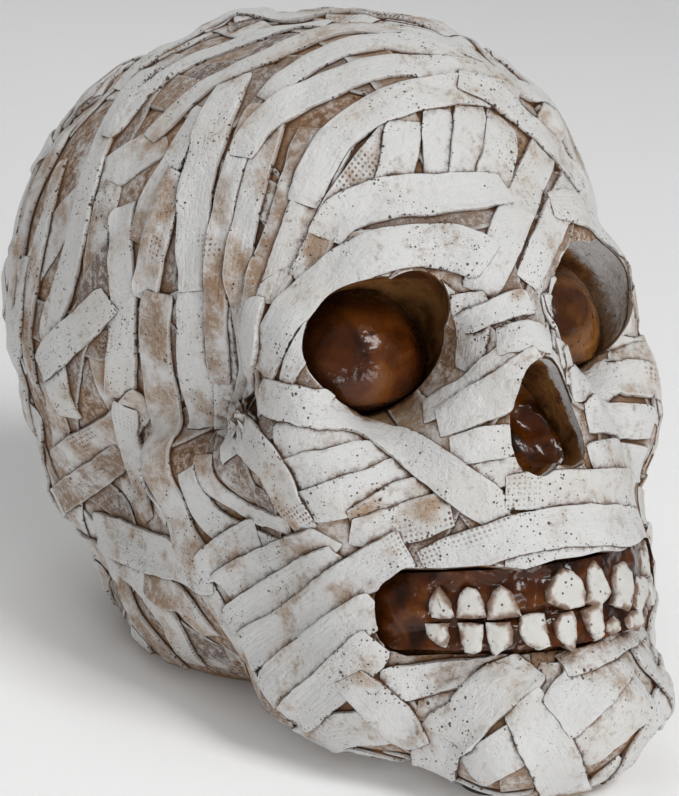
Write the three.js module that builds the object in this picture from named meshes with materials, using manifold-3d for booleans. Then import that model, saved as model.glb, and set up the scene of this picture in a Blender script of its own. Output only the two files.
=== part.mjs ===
// Skull coin bank: a hollow resin skull wrapped in bandage strips. Glossy amber resin is poured into its eye
// sockets, nose and mouth, two rows of teeth are set in the mouth, coins go in by a slot in the back of the
// head, and a soft plug closes the hole in the flat base, which stands on four pads.
// Millimetres, +Z up, the face looks along -Y and +X is the skull's own left.
import * as THREE from "three";
import Module from "manifold-3d";
import { mergeVertices } from "three/addons/utils/BufferGeometryUtils.js";

const wasm = await Module();
wasm.setup();

// Driving sizes of the head, taken before it leans back.
const craniumLength = 138; // brow to the back of the head
const craniumWidth = 110.4; // over the ears
const craniumHeight = 105.2; // through the braincase alone
const faceHeight = 96.6; // root of the nose to the underside of the chin
const faceWidth = 100; // over the cheekbones
const jawWidth = 79.4; // over the angles of the jaw
const headTiltDegrees = 23.3; // that the face looks up
const wall = 5; // resin left round the coin chamber
const blend = 10.4; // how far two bone forms run into each other
const gap = 0.35; // between pieces that touch

// Coin slot, plug and pads.
const slotLength = 34;
const slotHeight = 5;
const slotRise = 30; // above the middle of the braincase
const holeRadius = 15;
const flangeRadius = 18;
const flangeThickness = 2;
const plugDepth = 9;
const plugTaper = 0.4;
const gripRadius = 10;
const gripDepth = 6;
const gripBar = 3.2;
const padRadius = 6;
const padThickness = 1.6;
const padSideCount = 18;
const plugSideCount = 32;
const gripInset = 0.6; // of the pull bar behind the underside
const baseFlat = 1.3; // cut off the lowest point of the chin, so that it stands flat
const plugShare = 0.02; // how far behind the middle the plug sits, in lengths of the braincase
// Pads: side, as a share of half the jaw's width, and depth behind the chin, in lengths of the braincase.
const padShares = [
  ["front_right", -0.27, 0.056],
  ["front_left", 0.27, 0.056],
  ["rear_right", -0.46, 0.856],
  ["rear_left", 0.46, 0.856],
];

// How finely each skin is divided.
const outerDetailCount = 10;
const innerDetailCount = 5;
const outlineCount = 6;

const radians = THREE.MathUtils.degToRad;
const vector = (x, y, z) => new THREE.Vector3(x, y, z);

// Places on the head are shares of half its width, half its length and its height, up and forward from the
// middle of the braincase.
const cranium = vector(craniumWidth / 2, craniumLength / 2, craniumHeight / 2);
const face = vector(faceWidth / 2, craniumLength / 2, faceHeight);
const jaw = vector(jawWidth / 2, craniumLength / 2, faceHeight);
const nape = vector(craniumWidth / 2, craniumLength / 2, faceHeight); // comes down level with the chin
const place = (unit, share, side = 1) => vector(...share).multiply(unit).multiply(vector(side, 1, 1));

// Round bone forms: middle and radii.
const chinShare = { unit: face, at: [0, -0.8, -1.045], radii: [0.43, 0.24, 0.147] };
const roundShares = [
  { unit: cranium, at: [0, 0.025, 0], radii: [1.005, 0.99, 0.975] },
  { unit: cranium, at: [0, -0.41, 0.03], radii: [0.67, 0.55, 0.74] },
  { unit: cranium, at: [0, 0.22, 0.22], radii: [0.74, 0.72, 0.83] },
  { unit: cranium, at: [0.34, 0.3, 0.1], radii: [0.67, 0.7, 0.78], both: true },
  { unit: cranium, at: [0.36, 0.34, -0.2], radii: [0.68, 0.6, 0.6], both: true },
  { unit: cranium, at: [0, 0.59, -0.59], radii: [0.93, 0.615, 0.78] },
  { unit: nape, at: [0, 0.37, -0.648], radii: [0.85, 0.67, 0.327] },
  { unit: face, at: [0, -0.905, -0.134], radii: [0.21, 0.14, 0.08] },
  { unit: face, at: [0, -0.92, -0.214], radii: [0.14, 0.125, 0.107] },
  { unit: face, at: [0, -0.945, -0.357], radii: [0.155, 0.16, 0.107] },
  { unit: face, at: [0, -0.8, -0.48], radii: [0.41, 0.25, 0.18] },
  { unit: face, at: [0.6, -0.65, -0.5], radii: [0.29, 0.2, 0.134], both: true },
  { unit: face, at: [0, -0.77, -0.61], radii: [0.47, 0.285, 0.196] },
  { unit: face, at: [0, -0.745, -0.786], radii: [0.455, 0.285, 0.143] },
  { unit: face, at: [0.55, -0.43, -0.75], radii: [0.26, 0.335, 0.3], both: true },
  { unit: face, at: [0.48, 0, -0.55], radii: [0.48, 0.5, 0.32], both: true },
  { unit: face, at: [0, -0.375, -0.71], radii: [0.69, 0.625, 0.39] },
  { unit: face, at: [0, -0.58, -1.01], radii: [0.34, 0.3, 0.145] },
  chinShare,
];
// Long bone forms, on both sides: two ends and a radius, as a share of the half width.
const longShares = [
  { unit: face, from: [0.17, -0.92, -0.116], to: [0.41, -0.87, -0.107], radius: 0.11 },
  { unit: face, from: [0.41, -0.87, -0.107], to: [0.69, -0.75, -0.19], radius: 0.093 },
  { unit: face, from: [0.69, -0.75, -0.19], to: [0.73, -0.71, -0.375], radius: 0.084 },
  { unit: face, from: [0.7, -0.64, -0.18], to: [0.73, -0.6, -0.36], radius: 0.11 },
  { unit: face, from: [0.79, -0.575, -0.446], to: [0.95, -0.1, -0.39], radius: 0.095 },
  { unit: jaw, from: [0.82, -0.33, -0.872], to: [0.39, -0.775, -1.06], radius: 0.2 },
  { unit: jaw, from: [0.99, -0.1, -0.446], to: [0.84, -0.225, -0.875], radius: 0.19 },
];
const sightShare = [0, -0.275, -0.79]; // the point that every part of the skin can be seen from
const startShare = 1.2; // how far out the search for the skin starts, in lengths of the braincase
const stepShare = 0.75; // part of the measured distance taken at each step
const closeShare = 0.0002; // how near to the skin is near enough, in lengths of the braincase
const stepCount = 120;

const forms = [
  ...roundShares.flatMap((s) => sides(s.both).map((side) => roundForm(s, side))),
  ...longShares.flatMap((s) => sides(true).map((side) => longForm(s, side))),
];

function sides(both) {
  return both ? [1, -1] : [1];
}

function roundForm(share, side) {
  const middle = place(share.unit, share.at, side);
  const radii = place(share.unit, share.radii);
  return (p) => {
    const q = p.clone().sub(middle).divide(radii);
    const slope = q.clone().divide(radii).length();
    return slope > 0 ? (q.length() * (q.length() - 1)) / slope : -radii.z;
  };
}

function longForm(share, side) {
  const line = new THREE.Line3(place(share.unit, share.from, side), place(share.unit, share.to, side));
  const radius = share.radius * share.unit.x;
  const nearest = vector(0, 0, 0);
  return (p) => line.closestPointToPoint(p, true, nearest).distanceTo(p) - radius;
}

// Distance from a point to the blended bone forms, negative inside.
function depthAt(p) {
  let depth = Infinity;
  for (const form of forms) {
    const other = form(p);
    const overlap = Math.max(blend - Math.abs(depth - other), 0);
    depth = Math.min(depth, other) - (overlap * overlap) / (4 * blend);
  }
  return depth;
}

// The point of the skin, or of a skin a given depth under it, in one direction from the sight point.
const sight = place(cranium, sightShare);

function skinTowards(direction, inset) {
  const ray = new THREE.Ray(sight, direction.clone().normalize());
  const p = vector(0, 0, 0);
  let reach = craniumLength * startShare;
  for (let step = 0; step < stepCount; step++) {
    ray.at(reach, p);
    const left = depthAt(p) + inset;
    if (left < craniumLength * closeShare) break;
    reach -= left * stepShare;
  }
  return p;
}

// Moves each point of a shape.
function moved(geometry, change) {
  const points = geometry.attributes.position;
  for (let i = 0; i < points.count; i++) {
    const to = change(vector(0, 0, 0).fromBufferAttribute(points, i));
    points.setXYZ(i, to.x, to.y, to.z);
  }
  return geometry;
}

function skin(detail, inset) {
  return moved(new THREE.IcosahedronGeometry(1, detail), (direction) => skinTowards(direction, inset));
}

// Solids are joined and cut as manifolds.
function solid(geometry) {
  const bare = geometry.clone();
  bare.deleteAttribute("normal");
  bare.deleteAttribute("uv");
  const merged = mergeVertices(bare, gap / 1000);
  const vertProperties = new Float32Array(merged.attributes.position.array);
  const triVerts = new Uint32Array(merged.index.array);
  return new wasm.Manifold(new wasm.Mesh({ numProp: 3, vertProperties, triVerts }));
}

function geometryOf(manifold) {
  const mesh = manifold.getMesh();
  const geometry = new THREE.BufferGeometry();
  geometry.setAttribute("position", new THREE.BufferAttribute(new Float32Array(mesh.vertProperties), 3));
  geometry.setIndex(new THREE.BufferAttribute(new Uint32Array(mesh.triVerts), 1));
  return geometry;
}

const join = (solids) => solids.reduce((whole, next) => whole.add(next));

// Turns with the head: everything above is made upright and leans back here.
const lean = new THREE.Matrix4().makeRotationX(-radians(headTiltDegrees));
const leaned = (geometry) => geometry.clone().applyMatrix4(lean);

function ellipsoid(radii, grow, middle, turn, rings) {
  const ball = new THREE.SphereGeometry(1, 2 * rings, rings);
  ball.scale(radii.x + grow, radii.y + grow, radii.z + grow);
  ball.applyMatrix4(new THREE.Matrix4().makeRotationFromEuler(turn));
  ball.translate(middle.x, middle.y, middle.z);
  return ball;
}

// An outline seen from the front, pushed straight back through the face.
function frontal(shape, front, back) {
  const depth = back - front;
  const cut = new THREE.ExtrudeGeometry(shape, { depth, bevelEnabled: false, curveSegments: outlineCount });
  cut.rotateX(Math.PI / 2);
  cut.translate(0, back, 0);
  return cut;
}

// Bandage strips, modelled on the head before it was cast. Those that the photo shows are traced from it: a
// width and the places that the strip's middle runs through, all in pixels of the photo, thrown onto the skin
// from where the photo was taken. The layer says how many strips lie below, and both repeats a strip on the
// far side.
const viewDistanceShare = 3.85; // in lengths of the braincase
const viewTurnDegrees = -32.3;
const viewRiseDegrees = 16.5;
const viewShare = [0, -0.248, -0.164]; // what the view is centred on
const focalPixels = 2513;
const axisPixels = [357, 316]; // where the view's axis meets the picture
const tracedPixels = [
  {
    layer: 0, wide: 30, both: true,
    run: [[152, 72], [115, 122], [93, 185], [82, 235], [66, 290], [50, 345]],
  },
  { layer: 0, wide: 30, run: [[126, 205], [129, 290], [124, 400]] },
  { layer: 0, wide: 34, both: true, run: [[160, 292], [162, 380], [161, 440], [184, 535], [208, 572]] },
  { layer: 0, wide: 32, both: true, run: [[243, 80], [218, 133], [200, 185], [194, 235], [196, 290]] },
  { layer: 0, wide: 24, both: true, run: [[312, 128], [281, 232], [256, 312], [262, 415]] },
  { layer: 0, wide: 26, run: [[150, 140], [222, 82], [300, 46], [400, 38], [492, 68]] },
  { layer: 0, wide: 32, run: [[545, 120], [518, 205], [478, 292]] },
  { layer: 0, wide: 32, run: [[60, 468], [105, 436], [148, 396]] },
  { layer: 0, wide: 30, both: true, run: [[108, 540], [150, 585], [196, 664]] },
  { layer: 0, wide: 34, run: [[276, 444], [320, 436], [362, 436]] },
  { layer: 0, wide: 32, run: [[305, 508], [345, 498], [408, 470]] },
  { layer: 0, wide: 36, both: true, run: [[248, 654], [325, 602], [398, 548]] },
  { layer: 0, wide: 34, run: [[293, 716], [330, 689], [358, 660]] },
  { layer: 0, wide: 44, run: [[576, 756], [610, 722], [642, 684]] },
  {
    layer: 1, wide: 36,
    run: [[262, 372], [275, 335], [300, 303], [335, 275], [372, 254], [415, 244], [488, 262]],
  },
  { layer: 1, wide: 36, both: true, run: [[328, 240], [348, 214], [395, 200], [450, 198], [503, 192]] },
  { layer: 1, wide: 28, run: [[244, 160], [300, 100], [390, 70], [500, 84], [540, 110]] },
  { layer: 1, wide: 38, both: true, run: [[98, 528], [140, 546], [214, 574]] },
  { layer: 1, wide: 32, run: [[256, 424], [270, 460], [308, 532]] },
  { layer: 1, wide: 32, run: [[264, 392], [310, 406], [360, 424], [405, 448], [450, 478], [505, 516]] },
  { layer: 1, wide: 30, run: [[440, 426], [482, 404], [540, 362]] },
  { layer: 1, wide: 32, run: [[442, 554], [515, 522], [606, 510]] },
  { layer: 1, wide: 40, run: [[424, 770], [460, 728], [530, 664]] },
  { layer: 1, wide: 38, run: [[522, 702], [546, 745], [570, 784]] },
  { layer: 1, wide: 34, both: true, run: [[352, 674], [385, 708], [420, 744]] },
  { layer: 1, wide: 30, both: true, run: [[232, 626], [268, 602], [342, 556]] },
];
// Strips out of the photo's sight, by places on the braincase.
const hiddenShares = [
  { layer: 0, run: [[0.25, -0.3, 1], [0.3, 0.4, 0.9], [0.2, 0.95, 0.3], [0.15, 0.9, -0.3]] },
  { layer: 0, run: [[-0.7, 0.75, 0.4], [0, 1, 0.5], [0.7, 0.75, 0.3], [1, 0.2, 0.1]] },
  {
    layer: 0,
    run: [[-0.95, 0.2, -0.35], [-0.6, 0.85, -0.25], [0, 1, -0.2], [0.6, 0.85, -0.35], [0.95, 0.3, -0.5]],
  },
  { layer: 1, run: [[0.9, 0, 0.75], [0.4, 0.8, 0.6], [-0.3, 0.95, 0], [-0.8, 0.6, -0.5]] },
  { layer: 1, run: [[0.9, 0.3, 0.6], [0, 0.3, 1.1], [-0.6, 0.3, 0.8]] },
];
const stripWidth = 7.5; // of those
const stripHeight = 1.1; // of the lowest over the skin
const stripStack = 0.6; // that each layer adds
const stripRoot = 2; // that a strip goes below the skin, to be one casting with it
const stripStep = 12;

const viewDistance = viewDistanceShare * craniumLength;
const camera = viewFrom();
const cameraPlace = vector(0, 0, 0).setFromMatrixPosition(camera);

// The camera's frame, turned back with the head, which is still upright here.
function viewFrom() {
  const turn = radians(viewTurnDegrees);
  const rise = radians(viewRiseDegrees);
  const back = vector(Math.sin(turn) * Math.cos(rise), -Math.cos(turn) * Math.cos(rise), Math.sin(rise));
  const right = vector(Math.cos(turn), Math.sin(turn), 0);
  const frame = new THREE.Matrix4().makeBasis(right, back.clone().cross(right), back);
  frame.setPosition(place(cranium, viewShare).addScaledVector(back, viewDistance));
  return frame.premultiply(lean.clone().invert());
}

// The point of the skin that a pixel shows, or the nearest that its line of sight comes to the skin.
function seenAt([x, y]) {
  const way = vector(x - axisPixels[0], axisPixels[1] - y, -focalPixels).transformDirection(camera);
  const ray = new THREE.Ray(cameraPlace, way);
  const p = vector(0, 0, 0);
  const nearest = vector(0, 0, 0);
  let least = Infinity;
  let reach = viewDistance - craniumLength;
  for (let step = 0; step < stepCount && least > craniumLength * closeShare; step++) {
    ray.at(reach, p);
    const left = depthAt(p);
    if (left < least) nearest.copy(p);
    least = Math.min(least, left);
    reach += left * stepShare;
  }
  return nearest;
}

// A strip is a flat bar bent along its run: x goes across it, y from its root to its face, z along it.
function strip(run, width, layer, side) {
  const line = new THREE.CatmullRomCurve3(run);
  const pieceCount = Math.max(2, Math.round(line.getLength() / stripStep));
  const bar = new THREE.BoxGeometry(1, 1, 1, 1, 1, pieceCount);
  return moved(bar, ({ x, y, z }) => {
    const along = z + 1 / 2;
    const middle = line.getPointAt(along);
    const aside = middle.clone().sub(sight).cross(line.getTangentAt(along)).normalize();
    const edge = middle.addScaledVector(aside, x * side * width);
    const point = skinTowards(edge.sub(sight), y > 0 ? -stripHeight - layer * stripStack : stripRoot);
    return point.setX(point.x * side);
  });
}

const strips = tracedPixels.flatMap(({ run, wide, layer, both }) => {
  const places = run.map(seenAt);
  const width = (wide * viewDistance) / focalPixels;
  return sides(both).map((side) => solid(strip(places, width, layer, side)));
});
for (const { run, layer } of hiddenShares) {
  const places = run.map((share) => skinTowards(place(cranium, share).sub(sight), 0));
  strips.push(solid(strip(places, stripWidth, layer, 1)));
}

// Eye sockets, wide ovals that face a little outwards, and the amber balls in them.
const socketShares = [
  { at: [0.455, -0.735, -0.243], radii: [0.31, 0.325, 0.125] },
  { at: [0.33, -0.8, -0.2], radii: [0.19, 0.25, 0.082] },
];
const socketDownDegrees = -14;
const socketOutDegrees = 17;
const eyeShare = { at: [0.43, -0.6, -0.265], radius: 0.305 };
const poolShare = -0.6; // how far forward the resin round the ball comes
const socketRingCount = 8;
const eyeRingCount = 10;

function socket(side, grow) {
  const turn = new THREE.Euler(radians(socketDownDegrees), 0, radians(side * socketOutDegrees));
  const hollows = [];
  for (const { at, radii } of socketShares) {
    hollows.push(solid(ellipsoid(place(face, radii), grow, place(face, at, side), turn, socketRingCount)));
  }
  return join(hollows);
}

function eyeDome(side) {
  const middle = place(face, eyeShare.at, side);
  const ball = new THREE.SphereGeometry(eyeShare.radius * face.x, 2 * eyeRingCount, eyeRingCount);
  ball.translate(middle.x, middle.y, middle.z);
  const pool = new THREE.BoxGeometry(faceWidth, craniumLength, faceHeight);
  pool.translate(0, poolShare * face.y + craniumLength / 2, 0);
  return solid(ball).add(solid(pool)).intersect(socket(side, -gap));
}

// Nose opening: a pear with two lobes at the foot, divided by a low spine.
const noseShare = { top: -0.345, wide: -0.5, foot: -0.565, spine: -0.53, half: 0.165, lobe: 0.09 };
const noseBackShare = -0.86;
const noseResinShare = -0.915; // how far forward the resin in the nose comes

function noseShape(shrink) {
  const half = noseShare.half * face.x - shrink;
  const lobe = noseShare.lobe * face.x;
  const top = noseShare.top * face.z - shrink;
  const wide = noseShare.wide * face.z;
  const foot = noseShare.foot * face.z + shrink;
  const spine = noseShare.spine * face.z + shrink;
  const shape = new THREE.Shape();
  shape.moveTo(0, top);
  shape.quadraticCurveTo(half * 0.75, top, half, wide);
  shape.quadraticCurveTo(half, foot, lobe, foot);
  shape.quadraticCurveTo(lobe / 3, foot, 0, spine);
  shape.quadraticCurveTo(-lobe / 3, foot, -lobe, foot);
  shape.quadraticCurveTo(-half, foot, -half, wide);
  shape.quadraticCurveTo(-half * 0.75, top, 0, top);
  return shape;
}

// The mouth: a long opening, its ends drawn up, cut back to a curved gum.
const mouthShare = { half: 0.67, end: 0.85 };
const mouthLift = 2.9; // of the lips towards the ends of the mouth
const mouthDrop = 3.9; // left of the lower lip there
const upperLipGap = 1.4; // from the crowns to the lips
const lowerLipGap = 0.45;
const mouthSkewDegrees = 3.5; // the mouth climbs towards the skull's right, as a hand sculpture does
const gumShares = [[0.66, -0.56], [0.52, -0.715], [0.3, -0.875], [0, -0.95]];
const gumStepCount = 14;
const rootDepth = 1.6; // of the strip that joins the teeth of a row
const crownDepth = 5.6; // of a tooth, out of the gum
const resinDepth = 4.2; // of the amber between the teeth

const gumPoints = [
  ...gumShares.map(([x, y]) => vector(x * face.x, y * face.y, 0)),
  ...gumShares.slice(0, -1).reverse().map(([x, y]) => vector(-x * face.x, y * face.y, 0)),
];
const gum = new THREE.CatmullRomCurve3(gumPoints);

function mouthShape(shrink) {
  const half = mouthShare.half * face.x - shrink;
  const end = mouthShare.end * half;
  const bite = biteShare * face.z;
  const top = bite + biteGap + rows.upper.height + upperLipGap - shrink;
  const bottom = bite - biteGap - rows.lower.height - lowerLipGap + shrink;
  const middle = (top + bottom + mouthLift + mouthDrop) / 2;
  const shape = new THREE.Shape();
  shape.moveTo(end, top + mouthLift);
  shape.quadraticCurveTo(0, top - mouthLift, -end, top + mouthLift);
  shape.quadraticCurveTo(-half, top + mouthLift, -half, middle);
  shape.quadraticCurveTo(-half, bottom + mouthDrop, -end, bottom + mouthDrop);
  shape.quadraticCurveTo(0, bottom - mouthDrop, end, bottom + mouthDrop);
  shape.quadraticCurveTo(half, bottom + mouthDrop, half, middle);
  shape.quadraticCurveTo(half, top + mouthLift, end, top + mouthLift);
  return shape;
}

// A point beside the gum, a share of the way along it and a distance out of it.
function besideGum(share, out) {
  const along = gum.getTangentAt(share);
  return gum.getPointAt(share).addScaledVector(vector(-along.y, along.x, 0), out);
}

// An upright band that follows the gum between two distances out of it.
function gumBand(near, far, low, high, start, end) {
  const outline = [];
  const step = (end - start) / gumStepCount;
  const shares = Array.from({ length: gumStepCount + 1 }, (_, i) => start + step * i);
  for (const share of shares) outline.push(besideGum(share, near));
  for (const share of shares.toReversed()) outline.push(besideGum(share, far));
  const shape = new THREE.Shape(outline.map((p) => new THREE.Vector2(p.x, p.y)));
  const band = new THREE.ExtrudeGeometry(shape, { depth: high - low, bevelEnabled: false });
  band.translate(0, 0, low);
  return band;
}

// Teeth, from the middle of the mouth outwards, their widths as shares of half the face's width.
// The upper right side tooth is missing.
const biteShare = -0.835;
const biteGap = 0.3;
const biteLift = 5.5; // how far the bite would rise at the ends of the gum
const toothGap = 0.8;
const shrinkShare = 0.05; // each tooth is this share lower than its inner neighbour
const rows = {
  upper: {
    widthShares: [0.128, 0.096, 0.116, 0.104, 0.096],
    height: 7.3,
    neckShare: 0.72,
    shiftShare: 0.024, // of the whole row towards the skull's left
    rootStart: 1.6, // from the biting edge to the root strip
    up: true,
    missing: (side, tooth) => side < 0 && tooth === 1,
  },
  lower: {
    widthShares: [0.108, 0.108, 0.108, 0.104, 0.108],
    height: 6.5,
    neckShare: 0.88,
    shiftShare: 0,
    rootStart: 1.1,
    up: false,
  },
};
const crownRound = 0.7; // the rounding of a crown's face
const rootHeight = 2.6;

// A crown seen from the front, its biting edge down at 0 and its neck narrower.
function crownShape(width, height, neckShare) {
  const edge = width / 2;
  const root = edge * neckShare;
  const corner = edge / 3;
  const shape = new THREE.Shape();
  shape.moveTo(-edge + corner, 0);
  shape.lineTo(edge - corner, 0);
  shape.quadraticCurveTo(edge, 0, edge, corner);
  shape.lineTo(root, height - corner);
  shape.quadraticCurveTo(root, height, root - corner, height);
  shape.lineTo(-root + corner, height);
  shape.quadraticCurveTo(-root, height, -root, height - corner);
  shape.lineTo(-edge, corner);
  shape.quadraticCurveTo(-edge, 0, -edge + corner, 0);
  return shape;
}

// A crown stands out of the gum at its place along it, grown all round where it makes a pocket.
function crown(row, along, width, height, grow) {
  const round = grow > 0 ? 0 : crownRound;
  const inset = 2 * (grow - round);
  const geometry = new THREE.ExtrudeGeometry(crownShape(width + inset, height + inset, row.neckShare), {
    depth: crownDepth - round,
    curveSegments: 1,
    bevelEnabled: round > 0,
    bevelSegments: 1,
    bevelThickness: round,
    bevelSize: round,
  });
  geometry.translate(0, round + biteGap - grow, 0);
  if (!row.up) geometry.rotateZ(Math.PI);
  const foot = besideGum(along, gap + round);
  foot.z = biteShare * face.z + biteLift * (2 * along - 1) ** 2;
  const forward = besideGum(along, 1).sub(besideGum(along, 0));
  const up = vector(0, 0, 1);
  const turn = new THREE.Matrix4().makeBasis(up.clone().cross(forward), up, forward);
  return geometry.applyMatrix4(turn.setPosition(foot));
}

// A row of teeth on the strip that joins their roots, or the pocket that the row sits in.
function toothRow(row, grow) {
  const length = gum.getLength();
  const pieces = [];
  const shift = row.shiftShare * face.x;
  let reach = 0;
  row.widthShares.forEach((share, tooth) => {
    const width = share * face.x;
    const height = row.height * (1 - shrinkShare * tooth);
    for (const side of [1, -1]) {
      if (row.missing?.(side, tooth)) continue;
      const along = 1 / 2 - (side * (reach + width / 2) + shift) / length;
      pieces.push(solid(crown(row, along, width - toothGap, height, grow)));
    }
    reach += width;
  });
  const up = row.up ? 1 : -1;
  const near = biteShare * face.z + up * (biteGap + row.rootStart);
  const far = near + up * rootHeight;
  const half = (reach - toothGap + grow) / length;
  const low = Math.min(near, far) - grow;
  const high = Math.max(near, far) + grow;
  const centre = 1 / 2 - shift / length;
  const strip = gumBand(gap - grow, rootDepth + grow, low, high, centre - half, centre + half);
  return join([...pieces, solid(strip)]);
}

// The mouth is made level, and climbs here about the middle of its bite.
const skew = new THREE.Matrix4().makeRotationY(radians(mouthSkewDegrees));
skew.premultiply(new THREE.Matrix4().makeTranslation(0, 0, biteShare * face.z));
skew.multiply(new THREE.Matrix4().makeTranslation(0, 0, -biteShare * face.z));
const skewed = (manifold) => solid(geometryOf(manifold).applyMatrix4(skew));

// The openings in the face, cut from in front of it.
const front = -craniumLength;
const mouthBack = gumShares[0][1] * face.y;
const gumOutline = new THREE.Shape(gum.getSpacedPoints(gumStepCount).map((p) => new THREE.Vector2(p.x, p.y)));
const gumBody = new THREE.ExtrudeGeometry(gumOutline, { depth: 2 * faceHeight, bevelEnabled: false });
gumBody.translate(0, 0, -2 * faceHeight);
const mouthCut = skewed(solid(frontal(mouthShape(0), front, mouthBack)).subtract(solid(gumBody)));
const noseCut = solid(frontal(noseShape(0), front, noseBackShare * face.y));
const openings = join([socket(1, 0), socket(-1, 0), noseCut, mouthCut]);

// The coin chamber, clear of the sockets and of a solid muzzle behind the nose and mouth.
const muzzleShare = { back: -0.46, top: -0.3 };
const muzzle = new THREE.BoxGeometry(2 * faceWidth, craniumLength, 2 * faceHeight);
muzzle.translate(0, muzzleShare.back * face.y - craniumLength / 2, muzzleShare.top * face.z - faceHeight);
const solidFace = join([socket(1, wall), socket(-1, wall), solid(muzzle)]);
const chamber = solid(skin(innerDetailCount, wall)).subtract(solidFace);

// The base is level, a little above the lowest point of the chin once the head leans back.
const leanAngle = radians(headTiltDegrees);
const chin = place(chinShare.unit, chinShare.at).applyMatrix4(lean);
const chinRadii = place(chinShare.unit, chinShare.radii);
const chinReach = Math.hypot(chinRadii.y * Math.sin(leanAngle), chinRadii.z * Math.cos(leanAngle));
const baseLevel = chin.z - chinReach + baseFlat;
const deep = -2 * faceHeight;

function slab(low, high) {
  const box = new THREE.BoxGeometry(2 * craniumWidth, 3 * craniumLength, high - low);
  box.translate(0, 0, (low + high) / 2);
  return solid(box);
}

const plugPlace = plugShare * craniumLength;

function drum(radius, low, high) {
  const round = new THREE.CylinderGeometry(radius, radius, high - low, plugSideCount);
  round.rotateX(Math.PI / 2);
  round.translate(0, plugPlace, (low + high) / 2);
  return solid(round);
}

const slot = new THREE.BoxGeometry(slotLength, craniumLength, slotHeight);
slot.translate(0, craniumLength / 2, slotRise);

// The casting: the skin less its openings, chamber, slot and plug hole, cut flat below.
const turned = (manifold) => solid(leaned(geometryOf(manifold)));
const wrapped = join([solid(skin(outerDetailCount, 0)), ...strips]);
const casting = turned(wrapped.subtract(openings))
  .subtract(turned(chamber).subtract(slab(deep, baseLevel + wall)))
  .subtract(slab(deep, baseLevel))
  .subtract(drum(holeRadius, baseLevel - wall, baseLevel + 2 * wall))
  .subtract(drum(flangeRadius + gap, baseLevel - wall, baseLevel + flangeThickness + gap))
  .subtract(solid(slot));

// Teeth, and the amber poured round them and into the nose.
const upper = skewed(toothRow(rows.upper, 0));
const lower = skewed(toothRow(rows.lower, 0));
const pockets = join([toothRow(rows.upper, gap), toothRow(rows.lower, gap)]);
const mouthFill = solid(gumBand(gap, resinDepth, -2 * faceHeight, 0, 0, 1));
const mouthOpening = solid(frontal(mouthShape(gap), front, mouthBack - gap));
const mouthResin = skewed(mouthFill.intersect(mouthOpening).subtract(pockets));
const noseResin = solid(frontal(noseShape(gap), noseResinShare * face.y, noseBackShare * face.y - gap));

// The plug: a flange, a tapered body, and a hollow under it with a bar to pull it by.
const plugTop = flangeThickness + plugDepth;
const bodyRadius = holeRadius - gap;
const plugProfile = [
  [0, gripDepth],
  [gripRadius, gripDepth],
  [gripRadius, 0],
  [flangeRadius, 0],
  [flangeRadius, flangeThickness],
  [bodyRadius, flangeThickness],
  [bodyRadius - plugTaper, plugTop],
  [0, plugTop],
];
const plugBody = new THREE.LatheGeometry(plugProfile.map(([x, y]) => new THREE.Vector2(x, y)), plugSideCount);
plugBody.rotateX(Math.PI / 2);
const barTop = gripDepth + gripBar / 2;
const bar = new THREE.BoxGeometry(2 * gripRadius + gripBar / 2, gripBar, barTop - gripInset);
bar.translate(0, 0, (barTop + gripInset) / 2);
const plug = solid(plugBody).add(solid(bar));

const bank = new THREE.Group();

function addPart(name, geometry, material, position = vector(0, 0, 0)) {
  const mesh = new THREE.Mesh(geometry, material);
  mesh.name = name;
  mesh.position.copy(position);
  bank.add(mesh);
}

const finish = (color, roughness) => new THREE.MeshStandardMaterial({ color, roughness, metalness: 0 });
const amber = () => finish(0x6b2f0c, 0.12);
const ivory = () => finish(0xdcd2b8, 0.45);

addPart("skull_shell", geometryOf(casting), finish(0xded8cb, 0.62));
addPart("right_eye_dome", leaned(geometryOf(eyeDome(-1))), amber());
addPart("left_eye_dome", leaned(geometryOf(eyeDome(1))), amber());
addPart("nose_lining", leaned(geometryOf(noseResin)), amber());
addPart("mouth_lining", leaned(geometryOf(mouthResin)), amber());
addPart("upper_teeth", leaned(geometryOf(upper)), ivory());
addPart("lower_teeth", leaned(geometryOf(lower)), ivory());
addPart("stopper", geometryOf(plug), finish(0x1f1d1c, 0.7), vector(0, plugPlace, baseLevel));

for (const [name, x, y] of padShares) {
  const pad = new THREE.CylinderGeometry(padRadius, padRadius, padThickness, padSideCount);
  pad.rotateX(Math.PI / 2);
  const position = vector(x * jaw.x, chin.y + y * craniumLength, baseLevel - gap - padThickness / 2);
  addPart("foot_pad_" + name, pad, finish(0x2b2826, 0.95), position);
}

// The bank stands on the floor, its origin under the middle of its outline.
const bounds = new THREE.Box3().setFromObject(bank);
const middle = bounds.getCenter(vector(0, 0, 0));
for (const mesh of bank.children) mesh.position.sub(vector(middle.x, middle.y, bounds.min.z));

export default bank;
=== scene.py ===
import random
from math import cos, exp, pi, radians, sin

import bmesh
import bpy
import numpy as np
from mathutils import Matrix, Vector
from mathutils import noise as bumps
from mathutils.bvhtree import BVHTree
from mathutils.geometry import intersect_point_line


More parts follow.
